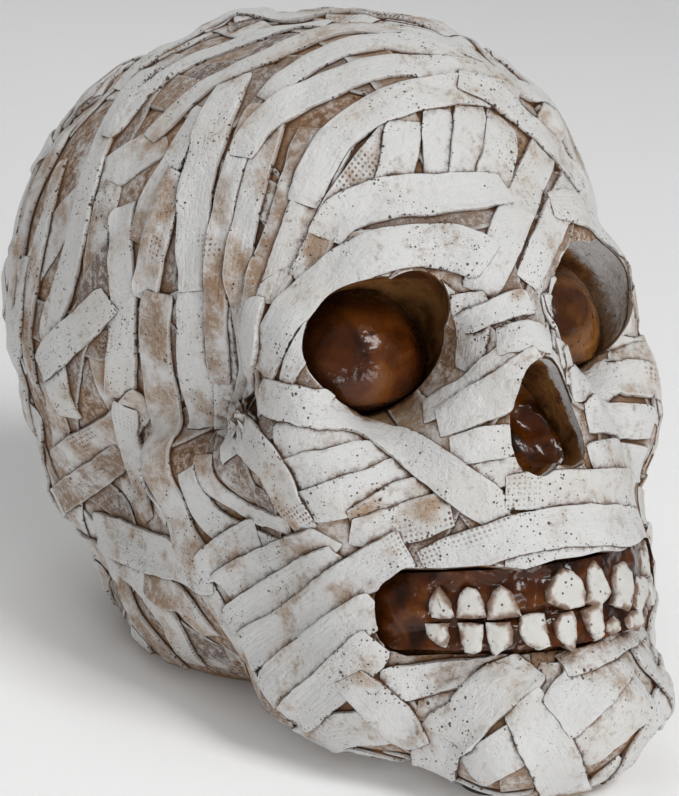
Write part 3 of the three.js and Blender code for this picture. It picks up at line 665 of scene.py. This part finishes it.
crown_strips = [
    (28, 404, 125, 398, 160, 388, 192),
    (26, 436, 105, 437, 145, 437, 188),
    (28, 468, 95, 467, 140, 460, 188),
    (32, 503, 120, 497, 160, 485, 205),
    (32, 545, 120, 533, 165, 518, 205, 497, 255, 478, 292),
    (28, 566, 180, 556, 215, 537, 253, 524, 282),
    (24, 120, 92, 160, 60, 200, 38, 245, 22, 290, 13, 340, 14, 400, 24, 455, 40),
    (26, 110, 140, 150, 97, 195, 62, 240, 46, 285, 32, 330, 28),
    (24, 150, 140, 190, 105, 222, 82, 262, 66, 300, 46, 340, 34, 400, 38, 450, 50, 492, 68),
    (24, 265, 102, 290, 82, 325, 57, 370, 46, 420, 52, 470, 70, 510, 88),
    (28, 244, 160, 262, 126, 300, 100, 340, 82, 390, 70, 440, 74, 500, 84, 540, 110),
    (30, 303, 205, 318, 167, 337, 137, 372, 114, 420, 98, 470, 92, 520, 108),
    (30, 455, 84, 500, 104, 542, 142, 572, 185),
    (30, 546, 208, 585, 216, 624, 244),
    (36, 328, 240, 348, 214, 395, 200, 450, 198, 503, 192),
    (36, 262, 372, 275, 335, 300, 303, 335, 275, 372, 254, 415, 244, 455, 246, 488, 262),
]
cheek_strips = [
    (22, 205, 455, 216, 488, 252, 512, 290, 526),
    (26, 186, 470, 206, 515, 240, 538, 288, 556),
    (28, 205, 570, 238, 545, 262, 530),
    (20, 262, 300, 258, 340, 262, 390, 250, 430, 232, 460),
    (16, 312, 326, 298, 355, 286, 386),
    (34, 276, 444, 320, 436, 362, 436),
    (34, 290, 476, 330, 468, 370, 460, 398, 460),
    (32, 305, 508, 345, 498, 385, 484, 408, 470),
    (26, 350, 520, 385, 505, 430, 490),
    (30, 350, 530, 400, 526, 452, 508),
    (24, 475, 478, 505, 470, 530, 474),
    (28, 452, 452, 482, 446, 512, 438),
    (30, 466, 292, 477, 332, 466, 372),
    (26, 425, 412, 470, 392, 502, 366, 532, 344),
    (24, 462, 322, 500, 308, 528, 302),
    (26, 500, 345, 528, 336, 548, 346),
    (30, 440, 426, 482, 404, 514, 384, 540, 362),
    (32, 256, 424, 270, 460, 287, 497, 308, 532),
    (32, 264, 392, 310, 406, 360, 424, 405, 448, 450, 478, 505, 516),
    (26, 604, 262, 618, 300, 622, 348),
    (30, 560, 366, 600, 360, 640, 358),
    (30, 566, 386, 600, 384, 648, 390),
    (30, 585, 416, 620, 420, 652, 424),
    (32, 590, 462, 620, 462, 642, 464),
    (30, 505, 492, 545, 490, 590, 488, 632, 492),
    (28, 505, 560, 545, 553, 590, 548, 628, 545),
    (32, 425, 568, 470, 550, 515, 533, 560, 524, 606, 524, 636, 530),
]
jaw_strips = [
    (26, 330, 760, 380, 752, 432, 768),
    (34, 306, 738, 350, 728, 396, 722),
    (30, 222, 586, 258, 567, 300, 549, 328, 536),
    (32, 232, 626, 268, 602, 305, 580, 342, 556),
    (36, 248, 654, 285, 629, 325, 602, 368, 570, 408, 548),
    (34, 268, 690, 308, 656, 345, 628, 378, 604),
    (34, 293, 716, 330, 689, 362, 658, 378, 640),
    (28, 418, 706, 442, 708, 472, 694),
    (34, 468, 770, 500, 752, 524, 738),
    (26, 535, 674, 562, 682, 592, 668),
    (28, 590, 776, 630, 748, 655, 708, 668, 665),
    (44, 576, 756, 610, 722, 642, 684),
    (26, 630, 640, 650, 672, 666, 712),
    (30, 380, 683, 430, 679, 480, 670, 530, 660),
    (40, 424, 770, 460, 728, 495, 692, 530, 664),
    (34, 352, 674, 385, 708, 420, 744),
    (38, 522, 702, 546, 745, 570, 784),
    (42, 556, 720, 590, 682, 620, 648),
    (24, 560, 668, 600, 652, 640, 622),
]


def pairs(row):
    return list(zip(row[::2], row[1::2]))


def sight_line(pixel):
    """The way from the camera to what a pixel of the photo shows."""
    x, y = ((pixel[i] - axis_pixel[i]) / focal_pixels for i in (0, 1))
    return (-view_back + view_right * x - view_up * y).normalized()


def seen_at(pixel):
    """The point of the skin that a pixel of the photo shows, or the nearest to its line of sight."""
    way = sight_line(pixel)
    spot = skin_tree.ray_cast(camera.location, way)[0]
    if spot:
        return spot
    spot = view_target
    for _ in range(8):
        spot = skin_tree.find_nearest(camera.location + way * (spot - camera.location).dot(way))[0]
    return spot


def even(path, step):
    """The same path with its points a step apart."""
    points = np.array(path)
    along = np.concatenate([[0], np.cumsum(np.linalg.norm(np.diff(points, axis=0), axis=1))])
    places = np.linspace(0, along[-1], max(4, round(along[-1] / step) + 1))
    return np.stack([np.interp(places, along, points[:, i]) for i in range(3)], axis=1)


def smooth(values, rounds):
    """Neighbours along the first axis run into each other, the two ends keep their place."""
    for _ in range(rounds):
        values[1:-1] = (values[:-2] + 2 * values[1:-1] + values[2:]) / 4
    return values


def wander(count, reach, draw):
    """Slow random wandering between -1 and 1 over a number of steps."""
    knots = max(3, int(count / reach) + 2)
    places = np.linspace(0, knots - 1, count)
    return np.interp(places, range(knots), [draw.uniform(-1, 1) for _ in range(knots)])


# The openings are cut through the strips a hair wider than through the casting, and not quite alike through
# strips that overlap, so that no two of their faces lie in one place.
hair, cut_sizes = 0.06 * mm, 6
laid, groups, cutters = [], {}, []
for cut in openings(hair):
    corners = np.array([v.co for v in cut.data.vertices])
    cutters.append((cut, corners.min(axis=0), corners.max(axis=0)))


def lay_strip(group, path, width, draw, thickness=strip_thickness, soak=0.0):
    """Lays a strip along a path, over the skin and over the strips laid before it."""
    path = smooth(even(path, strip_step), 14)
    rows = len(path)
    nearest = [skin_tree.find_nearest(Vector(point)) for point in path]
    middles = np.array([found[0] for found in nearest])
    normals = smooth(np.array([found[1] for found in nearest]), 4)
    ahead = np.gradient(middles, axis=0)
    aside = np.cross(ahead, normals)
    aside /= np.linalg.norm(aside, axis=1)[:, None]
    ahead /= np.linalg.norm(ahead, axis=1)[:, None]
    inner = np.linspace(-lip_share, lip_share, max(4, round(width / column_step)))
    across = np.concatenate([[-1, -edge_share], inner, [edge_share, 1]])
    columns = len(across)
    drift = wander(rows, 22, draw) * drift_most
    to_end = np.minimum(np.arange(rows), np.arange(rows)[::-1]) * strip_step
    pressed = np.clip(to_end / (draw.uniform(2, 7) * mm), 0, 1)
    half = width / 2 * (1 + 0.07 * wander(rows, 30, draw)) * (0.8 + 0.2 * pressed**0.5)
    frayed = [wander(rows, 3, draw) * fray_most for _ in (0, 1)]
    slant = draw.uniform(-0.3, 0.3)
    low, high = middles.min(axis=0) - width, middles.max(axis=0) + width
    below = [tree for tree, least, most in laid if np.all(low <= most) and np.all(high >= least)]
    spots, outs, under = (np.zeros((rows, columns, *more)) for more in ((3,), (3,), ()))
    for i in range(rows):
        for j, share in enumerate(across):
            offset = drift[i] + share * (half[i] + frayed[int(share > 0)][i] * abs(share) ** 6)
            place = Vector(middles[i] + aside[i] * offset + ahead[i] * slant * offset)
            spot, normal, _, _ = skin_tree.find_nearest(place)
            spots[i, j], outs[i, j] = spot, normal
            for tree in below:
                drop_to = tree.ray_cast(spot + normal * reach_over, -normal, reach_over)[3]
                if drop_to is not None:
                    under[i, j] = max(under[i, j], reach_over - drop_to)
    wide = np.pad(under, 1, mode="edge")
    around = [wide[1:-1, 1:-1], wide[:-2, 1:-1], wide[2:, 1:-1], wide[1:-1, :-2], wide[1:-1, 2:]]
    top = smooth(np.max(around, axis=0), 2)
    top = np.maximum(smooth(top.T.copy(), 1).T, under - 0.05 * mm)
    press = np.clip(1 - top / stack_limit, 0.25, 1)
    folds = smooth(np.array([wander(rows, 40, draw) for _ in across]), 1).T
    lip = 1 + lip_rise * np.exp(-(((np.abs(across) - lip_share) / lip_spread) ** 2))
    lip[[0, -1]] = edge_thin
    thick = thickness * press * lip * (0.35 + 0.65 * pressed)[:, None] + folds * fold_most
    thick[[0, -1]] *= 0.6
    outer = spots + outs * (top + thick)[:, :, None]
    foot = spots[:, [-1, 0]] - outs[:, [-1, 0]] * strip_depth
    places = np.concatenate([outer, foot, outer[:, :1]], axis=1)
    shape = bmesh.new()
    bmesh.ops.create_grid(shape, x_segments=columns + 2, y_segments=rows - 1, size=1)
    cloth, edge = shape.loops.layers.uv.new("cloth"), shape.verts.layers.float.new("edge")
    soaked = shape.verts.layers.float.new("soaked")
    wet = np.linspace(draw.uniform(-0.5, 0.8), draw.uniform(-0.5, 0.8), rows) + soak
    shape.verts.ensure_lookup_table()
    side = np.concatenate([across, [1, -1, -1]])
    for i in range(rows):
        for j in range(columns + 3):
            vert = shape.verts[i * (columns + 3) + j]
            vert.co = places[i, j]
            vert[edge] = abs(side[j]) if j != columns and j != columns + 1 else 2
            vert[soaked] = max(wet[i], 0)
            for loop in vert.link_loops:
                loop[cloth].uv = (i * strip_step / mm, side[j] * half[i] / mm)
    bmesh.ops.remove_doubles(shape, verts=shape.verts, dist=0.001 * mm)
    bmesh.ops.holes_fill(shape, edges=[e for e in shape.edges if e.is_boundary], sides=0)
    faced(shape)
    low, high = places.min(axis=(0, 1)), places.max(axis=(0, 1))
    laid.append((BVHTree.FromBMesh(shape), low, high))
    piece = solid("strip", shape)
    met = []
    for cut, least, most in cutters:
        if np.all(low <= most) and np.all(high >= least):
            grown = len(laid) % cut_sizes * hair / ((most - least).min() / 2)
            cut.scale = (1 + grown, 1 + grown, 1 + grown)
            cut.location = (least + most) / 2 * -grown
            met.append(cut)
    groups.setdefault(group, []).append(combine(piece, met, "DIFFERENCE") if met else piece)


# Out of the photo's sight the strips are guesses: those of the side that shows are repeated on the other one,
# and short ones are laid every way over the crown, the back of the head and under the jaw.
turned_away, shortest_run = 0.16, 6


def hidden_runs(path):
    """The parts of a path over the skin that the photo doesn't show."""
    runs, run = [], []
    for point in path:
        spot, normal, _, _ = skin_tree.find_nearest(Vector(point))
        if normal.dot((camera.location - spot).normalized()) < turned_away:
            run.append(spot)
        else:
            runs.append(run)
            run = []
    return [run for run in [*runs, run] if len(run) >= shortest_run]


def scattered(count, draw):
    """Short paths spread evenly round the head, each in a direction of its own."""
    middle = head_place + Vector((0, 0, -6 * mm))
    for number in range(count):
        rise = 1 - (number + 0.5) / count * 1.92
        turn = number * pi * (3 - 5**0.5)
        way = Vector((cos(turn) * (1 - rise * rise) ** 0.5, sin(turn) * (1 - rise * rise) ** 0.5, rise))
        across = way.cross(Vector([draw.uniform(-1, 1) for _ in range(3)])).normalized()
        reach = draw.uniform(0.35, 0.75)
        hits = []
        for i in range(41):
            turned = (way * cos(reach * (i / 20 - 1)) + across * sin(reach * (i / 20 - 1))) * 200 * mm
            hits.append(skin_tree.ray_cast(middle + turned, -turned.normalized())[0])
        places = [hit for hit in hits if hit and hit.z > base_level - 1 * mm]
        if len(places) > 8:
            yield places


draw = random.Random(31)
under_count, back_count = 80, 105
for places in scattered(under_count, draw):
    lay_strip("under", places, draw.uniform(6.0, 9.5) * mm, draw, 0.45 * mm, 0.9)
for places in scattered(back_count, draw):
    for run in hidden_runs(even(places, strip_step)):
        lay_strip("back", run, draw.uniform(6.5, 9.4) * mm, draw)
for pixels_wide, *row in side_strips + cheek_strips + jaw_strips:
    mirrored = even([(-p.x, p.y, p.z) for p in map(seen_at, pairs(row))], strip_step)
    for run in hidden_runs(mirrored):
        lay_strip("left", run, pixels_wide * view_distance * strip_spread, draw)
for group, strips, thickness, soak in (
    ("side", side_strips, strip_thickness, 0.25), ("crown", crown_strips, 0.7 * mm, -0.3),
    ("cheek", cheek_strips, 0.75 * mm, -0.15), ("jaw", jaw_strips, 0.8 * mm, -0.1),
):
    for pixels_wide, *row in strips:
        path = [seen_at(pixel) for pixel in pairs(row)]
        lay_strip(group, path, pixels_wide * view_distance * strip_spread, draw, thickness, soak)

strip_paint = painted("strip_paint", 0)
for group, pieces in groups.items():
    whole = bmesh.new()
    for piece in pieces:
        whole.from_mesh(piece.data)
    drop(*pieces)
    wraps = solid(group + "_wraps", whole)
    wraps.data.materials.append(strip_paint)
    wraps.data.shade_smooth()
    wraps.data.set_sharp_from_angle(angle=radians(38))
    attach(wraps, "bank")
drop(*(cut for cut, _, _ in cutters))

# Eyes: a ball stands in each socket in a pool of dark amber resin, poured and set round it. The resin is
# lumpy and glossy, swirled from light to deep brown, and holds small air bubbles.
eye_place, eye_radius, pool_front, hair_gap = (0.43, -0.6, -0.265), 15.25 * mm, -0.6, 0.35 * mm
# Amber tones with painted light and shade: the lighter set is the resin as if lit, for the left eye; the
# darker set is the same resin as if in shade, for the right eye, the nose and the mouth.
shaded_amber_tones = (0.017, 0.0045, 0.001, 1), (0.07, 0.0165, 0.002, 1), (0.145, 0.044, 0.006, 1)
lit_amber_tones = (0.05, 0.014, 0.002, 1), (0.19, 0.07, 0.013, 1), (0.37, 0.175, 0.046, 1)


def lumpy(shape, reach, amount, shift=0):
    """Moves a shape's points along their normals by soft lumps of a given size."""
    shape.normal_update()
    moves = [bumps.noise(v.co / reach + Vector((shift, shift, 0))) * amount for v in shape.verts]
    for vert, move in zip(shape.verts, moves):
        vert.co += vert.normal * move


def amber(name, swirl, depth, dark, middle, light):
    """Poured resin: swirls from dark to light brown, bubbles, and a hard glossy coat over soft lumps, with
    painted shade darkening it where it lies closed in.
    """
    finish, tree, shader = material(name)
    places = millimetres(tree)
    swirls = add(tree, "TexNoise", {"Vector": places, "Scale": swirl, "Detail": 3, "Distortion": 0.8})
    colour = mixed(ranged(swirls, 0.34, 0.56), dark, middle)
    colour = mixed(ranged(swirls, 0.52, 0.72), colour, light)
    # Painted shade: the colour goes towards the darkest tone where the resin lies closed in.
    deep = openness(tree, depth)
    colour = mixed(ranged(deep, 0.7, 0.25, 0, 0.9), colour, dark)
    crowded = ranged(noise(places, 0.12, 1), 0.42, 0.6, 0.4, 1.1)
    bubbles = greater(pits(places, 0.55, 0.35, crowded), pits(places, 0.3, 0.72, crowded))
    colour = mixed(times(bubbles, 0.9), colour, wash_dark)
    shader.inputs["Specular IOR Level"].default_value = 0.12
    shader.inputs["Coat Weight"].default_value = 0.4
    shader.inputs["Coat Roughness"].default_value = 0.06
    shader.inputs["Coat IOR"].default_value = 1.5
    height = times(noise(places, 0.28, 2), 0.5)
    height = plus(height, times(noise(places, 1.5, 2), 0.05))
    height = less(height, times(bubbles, 0.2))
    roughness = ranged(noise(places, 0.5, 3), 0.3, 0.7, 0.16, 0.34)
    bump = colour_and_finish(shader, colour, roughness, height, 0.8)
    tree.links.new(bump, shader.inputs["Coat Normal"])
    return finish


def poured(size, depth, sag, middle):
    """A block of resin about a place in the head, each point of its front moved in by sag."""
    shape = bmesh.new()
    bmesh.ops.create_grid(shape, x_segments=60, y_segments=60, size=size)
    bmesh.ops.rotate(shape, verts=shape.verts, matrix=Matrix.Rotation(pi / 2, 3, "X"))
    sheet = list(shape.verts)
    bmesh.ops.translate(shape, verts=pushed(shape, list(shape.faces)), vec=(0, depth, 0))
    for vert in sheet:
        vert.co.y += sag(vert.co)
    faced(shape)
    return placed(shape, head @ Matrix.Translation(middle))


def finished(piece, body, node, finish, angle):
    """Gives a piece its material and its body, and hides the solid that it stands for."""
    piece.data.materials.clear()
    piece.data.materials.append(finish)
    piece.data.shade_smooth()
    piece.data.set_sharp_from_angle(angle=radians(angle))
    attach(piece, body)
    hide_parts(node)


# The left eye gets the amber painted as lit, the right eye the amber painted as in shade.
eye_ambers = amber("lit_amber", 0.09, 9 * mm, *lit_amber_tones), amber("shaded_amber", 0.09, 9 * mm, *shaded_amber_tones)
for side, name, eye_amber, bed in zip((1, -1), ("left", "right"), eye_ambers, both_sockets(-hair_gap)):
    ball = bmesh.new()
    bmesh.ops.create_icosphere(ball, subdivisions=5, radius=eye_radius)
    ball_place = head @ Matrix.Translation(face * eye_place * (side, 1, 1))
    placed(ball, ball_place)
    lumpy(ball, 9 * mm, 0.45 * mm, side)

    def ripple(place):
        return bumps.noise(place / (5 * mm) + Vector((0, side, 0))) * 0.9 * mm

    middle = Vector(face * (eye_place[0] * side, pool_front, eye_place[2]))
    resin = solid("pool", poured(0.45 * half_face, half_length / 2, ripple, middle))
    dome = solid(name + "_eye", ball)
    combine(dome, [resin], "UNION")
    combine(dome, [bed], "INTERSECT")
    drop(resin, bed)
    finished(dome, "bank", name + "_eye_dome", eye_amber, 60)

# Nose: the opening is half filled with the same resin, which has run down its walls and set in lumps, hollow
# in the middle.
nose_front = -0.915
# Its amber has the darker tones: painted shade.
gap_amber = amber("gap_amber", 0.14, 6 * mm, *shaded_amber_tones)


def nose_sag(place):
    """How far in the resin lies at a place in the nose: deepest in the middle, with lumps."""
    from_middle = place.x / (nose_half * half_face)
    sag = 2.6 * mm - 2.2 * mm * from_middle * from_middle + 0.34 * min(place.z, 2 * mm)
    return sag + bumps.noise(place / (4 * mm)) * 1.0 * mm


nose_middle = Vector((0, nose_front * half_length, (nose_top + nose_foot) / 2 * face_height))
nose_depth = (nose_back - nose_front) * half_length - hair_gap
nose = solid("nose", poured(0.25 * half_face, nose_depth, nose_sag, nose_middle))
bed = solid("bed", prism(nose_outline(hair_gap), nose_back * half_length - hair_gap, Matrix()))
combine(nose, [bed], "INTERSECT")
drop(bed)
finished(nose, "bank", "nose_lining", gap_amber, 60)

# Mouth: the resin that the teeth are set in follows the gum. It is ridged between the teeth and pooled in the
# corner of the mouth where there are none.
resin_depth, crown_depth = 4.7 * mm, 5.4 * mm


def mouth_lumps(place):
    """How far the resin in the mouth stands out or lies in: lumps, and a furrow along the bite."""
    low = bumps.noise(place / (4.5 * mm)) * 1.1 * mm + bumps.noise(place / (1.6 * mm)) * 0.35 * mm
    bite_line = (place.z - bite) / (1.0 * mm)
    return low - 0.9 * mm * exp(-bite_line * bite_line)


lining = solid("mouth", gum_band(180, 60, hair_gap, resin_depth, mouth_lumps))
bed = solid("bed", prism(mouth_outline(hair_gap), mouth_back * half_length, mouth_turn))
combine(lining, [bed], "INTERSECT")
drop(bed)
finished(lining, "bank", "mouth_lining", gap_amber, 60)

# Teeth: small irregular blocks of resin, chipped at the corners, painted off-white and stained by the wash
# round their edges. Outlines of those that show were traced, x and y of each pixel in turn, and stand
# on the gum. The others are given by where they start and end along the gum.
upper_seen = [
    (432, 617, 429, 605, 433, 594, 438, 588, 443, 593, 449, 603, 454, 616, 444, 618),
    (457, 617, 457, 603, 461, 594, 467, 588, 475, 590, 482, 600, 486, 617, 470, 618),
    (488, 619, 488, 604, 494, 592, 501, 585, 510, 592, 516, 603, 521, 615, 505, 618),
    (549, 601, 548, 590, 556, 578, 563, 569, 573, 572, 581, 581, 585, 592, 584, 605, 566, 609),
    (586, 602, 590, 590, 589, 570, 594, 562, 601, 570, 607, 582, 611, 593, 604, 602, 595, 605),
    (614, 603, 619, 594, 614, 580, 616, 568, 624, 562, 631, 572, 634, 592, 629, 610, 622, 607),
    (634, 604, 636, 590, 637, 577, 644, 577, 649, 586, 647, 600, 640, 613),
]
lower_seen = [
    (425, 624, 428, 636, 436, 643, 445, 647, 449, 637, 446, 629, 450, 623, 438, 625),
    (458, 624, 461, 640, 465, 652, 473, 654, 480, 650, 482, 638, 483, 625, 470, 624),
    (486, 623, 488, 638, 491, 650, 496, 656, 503, 650, 512, 645, 513, 634, 510, 622, 498, 624),
    (519, 628, 522, 617, 534, 614, 544, 614, 547, 630, 549, 645, 540, 649, 530, 645, 523, 638),
    (555, 622, 562, 614, 573, 612, 576, 622, 577, 638, 574, 649, 563, 642, 556, 634),
    (584, 611, 593, 606, 602, 604, 603, 620, 605, 634, 598, 639, 590, 630, 587, 620),
    (608, 622, 614, 617, 620, 622, 621, 630, 614, 635, 608, 631),
    (627, 618, 633, 611, 641, 610, 644, 622, 638, 630, 630, 628),
]
upper_hidden, lower_hidden = [(0.42, 0.5), (0.52, 0.6)], [(0.42, 0.49), (0.51, 0.58)]
tooth_thickness, rim_reach = 3.4 * mm, 1.3 * mm
tooth_white, tooth_stain = (0.64, 0.625, 0.59, 1), (0.17, 0.066, 0.02, 1)
crown_front = gum_band(240, 2, 0, crown_depth, lambda place: 0)
crown_tree = BVHTree.FromBMesh(crown_front)
crown_front.free()
gum_middle = head @ mouth_turn @ Vector((0, -0.4 * half_length, bite))


def tooth(corners):
    """One tooth: its traced outline, its edges rounded by three insets, thickened inwards and chipped."""
    shape = bmesh.new()
    front = shape.faces.new([shape.verts.new(corner) for corner in corners])
    front.normal_update()
    middle = sum(corners, Vector()) / len(corners)
    bmesh.ops.scale(shape, verts=shape.verts, vec=(1.06, 1.06, 1.06), space=Matrix.Translation(-middle))
    outward = (middle - gum_middle).normalized()
    if front.normal.dot(outward) < 0:
        front.normal_flip()
    inward = front.normal * -tooth_thickness
    made = bmesh.ops.extrude_face_region(shape, geom=[front])["geom"]
    front = next(f for f in made if isinstance(f, bmesh.types.BMFace))
    bmesh.ops.translate(shape, verts=[v for v in shape.verts if v not in front.verts], vec=inward)
    bmesh.ops.holes_fill(shape, edges=[e for e in shape.edges if e.is_boundary], sides=0)
    faced(shape)
    for inset, rise in ((0.25 * mm, 0.22 * mm), (0.4 * mm, 0.12 * mm), (0.8 * mm, 0.1 * mm)):
        bmesh.ops.inset_region(shape, faces=[front], thickness=inset, depth=rise, use_even_offset=True)
    bmesh.ops.subdivide_edges(shape, edges=shape.edges, cuts=3, use_grid_fill=True)
    bmesh.ops.triangulate(shape, faces=[f for f in shape.faces if len(f.verts) > 4])
    axes = {"use_axis_x": True, "use_axis_y": True, "use_axis_z": True}
    bmesh.ops.smooth_vert(shape, verts=shape.verts, factor=0.15, **axes)
    rim = shape.verts.layers.float.new("rim")
    sides = list(zip(corners, corners[1:] + corners[:1]))
    for vert in shape.verts:
        near = rim_reach
        for start, end in sides:
            spot, share = intersect_point_line(vert.co, start, end)
            if -0.1 < share < 1.1:
                across = spot - vert.co
                near = min(near, (across - outward * across.dot(outward)).length)
        vert[rim] = 1 - near / rim_reach
    lumpy(shape, 1.7 * mm, 0.26 * mm)
    lumpy(shape, 0.7 * mm, 0.12 * mm)
    return shape


def on_gum(pixel):
    return crown_tree.ray_cast(camera.location, sight_line(pixel))[0]


def hidden_tooth(start, end, low, high):
    """A tooth out of the photo's sight, narrower at its neck."""
    lift = 5.5 * mm * ((start + end) / 2 / gum_end) ** 2
    inset = (end - start) * 0.14
    necks = (inset, 0) if high > bite else (0, inset)
    marks = [(start + necks[1], low), (end - necks[1], low), (end - necks[0], high), (start + necks[0], high)]
    return [head @ mouth_turn @ Vector((*beside_gum(x, crown_depth), z + lift)) for x, z in marks]


tooth_finish, tree, shader = material("tooth_paint")
places = millimetres(tree)
fine, patchy = noise(places, 0.9, 4, 0.6), noise(places, 0.25, 3, 0.6)
closed = openness(tree, 2.6 * mm)
rim = point_value(tree, "rim")
stain = ranged(plus(closed, ranged(patchy, 0.3, 0.7, 0.16, -0.16)), 0.84, 0.42)
kept = plus(ranged(patchy, 0.36, 0.62), times(fine, 0.5))
stain = greater(stain, ranged(plus(rim, kept), 1.15, 2.15))
colour = mixed(ranged(patchy, 0.45, 0.75, 0, 0.5), tooth_white, paint_cream)
colour = mixed(times(stain, 0.9), colour, mixed(fine, tooth_stain, wash_brown))
holes = pits(places, 0.8, 0.4, 0.9)
colour = mixed(times(holes, 0.9), colour, wash_dark)
height = less(times(fine, 0.3), times(holes, 0.3))
colour_and_finish(shader, colour, ranged(fine, 0.3, 0.7, 0.38, 0.58), height, 0.8)
for name, seen, hidden, low, high in (
    ("upper_teeth", upper_seen, upper_hidden, bite + 0.3 * mm, bite + 5.8 * mm),
    ("lower_teeth", lower_seen, lower_hidden, bite - 5.4 * mm, bite - 0.4 * mm),
):
    row = bmesh.new()
    outlines = [[on_gum(pixel) for pixel in pairs(pixels)] for pixels in seen]
    outlines += [hidden_tooth(start, end, low, high) for start, end in hidden]
    for outline in outlines:
        one = solid("tooth", tooth(outline))
        row.from_mesh(one.data)
        drop(one)
    finished(solid(name, row), "bank", name, tooth_finish, 70)

# Stopper: a soft black plug moulded in one piece, a flange flush with the base, a tapered body with two
# sealing rings, and under it a round grip hollow with a bar across. Its profile is in millimetres.
plug_finish, tree, shader = material("plug_rubber")
places = millimetres(tree)
grain, worn = noise(places, 4, 3, 0.6), noise(places, 0.12, 3, 0.6)
dusty = mixed(ranged(worn, 0.4, 0.7), (0.018, 0.017, 0.016, 1), (0.045, 0.041, 0.037, 1))
colour_and_finish(shader, dusty, ranged(worn, 0.35, 0.7, 0.5, 0.72), grain, 0.6, 0.08 * mm)
profile = [
    (0, 6), (9.4, 6), (10, 5.5), (10, 0.4), (10.4, 0), (17.5, 0), (18, 0.5), (18, 1.6), (17.6, 2), (14.65, 2),
    (14.65, 2.6), (14.9, 3.1), (14.62, 3.6), (14.55, 5.6), (14.82, 6.1), (14.5, 6.6), (14.3, 10.2),
    (13.5, 11), (0, 11),
]
plug = bmesh.new()
points = [plug.verts.new((x * mm, 0, z * mm)) for x, z in profile]
line = [plug.edges.new(pair) for pair in zip(points, points[1:])]
turning = {"axis": (0, 0, 1), "cent": (0, 0, 0), "angle": 2 * pi, "steps": 96, "use_duplicate": False}
bmesh.ops.spin(plug, geom=points + line, **turning)
bmesh.ops.remove_doubles(plug, verts=plug.verts, dist=0.001 * mm)
faced(plug)
bmesh.ops.translate(plug, verts=plug.verts, vec=(0, plug_place, base_level))
bar_low = Vector((-10.4 * mm, plug_place - 1.6 * mm, base_level + 0.6 * mm))
bar = block(bar_low, bar_low + Vector((20.8, 3.2, 6.4)) * mm)
rounded(bar, list(bar.edges), 0.5 * mm, 3)
stopper, grip = solid("plug", plug), solid("grip", bar)
combine(stopper, [grip], "UNION")
drop(grip)
finished(stopper, "plug", "stopper", plug_finish, 35)

# Feet: four punched discs of dark foam, glued under the chin and the nape, a little squashed at their edges.
pad_radius, pad_height, pad_edge, pad_bulge = 5.8 * mm, 1.6 * mm, 0.3 * mm, 1.035
foam, tree, shader = material("foam")
places = millimetres(tree)
cells = add(tree, "TexVoronoi", {"Vector": places, "Scale": 3.2})
colour = mixed(cells, (0.02, 0.018, 0.016, 1), (0.075, 0.068, 0.062, 1))
bump = add(tree, "Bump", {"Height": cells, "Strength": 0.9, "Distance": 0.15 * mm})
tree.links.new(colour, shader.inputs["Base Color"])
tree.links.new(bump, shader.inputs["Normal"])
shader.inputs["Roughness"].default_value = 0.9
for name, x, y in (
    ("foot_pad_front_right", -10.7, -65.2), ("foot_pad_front_left", 10.7, -65.2),
    ("foot_pad_rear_right", -18.3, 45.2), ("foot_pad_rear_left", 18.3, 45.2),
):
    middle = Vector((x, y)) * mm
    disc = cylinder(pad_radius, 0, pad_height, y * mm, 48)
    bmesh.ops.translate(disc, verts=disc.verts, vec=(x * mm, 0, 0))
    rims = [e for e in disc.edges if any(len(f.verts) > 4 for f in e.link_faces)]
    rounded(disc, rims, pad_edge, 3)
    whole = disc.verts[:] + disc.edges[:] + disc.faces[:]
    bmesh.ops.bisect_plane(disc, geom=whole, plane_co=(0, 0, pad_height / 2), plane_no=(0, 0, 1))
    for vert in disc.verts:
        if abs(vert.co.z - pad_height / 2) < near_enough:
            vert.co.xy = middle + (vert.co.xy - middle) * pad_bulge
    finished(solid(name, disc), "bank", name, foam, 50)

size = {"cad": [list(v) for v in cad_box], "visual": [list(v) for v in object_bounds()]}
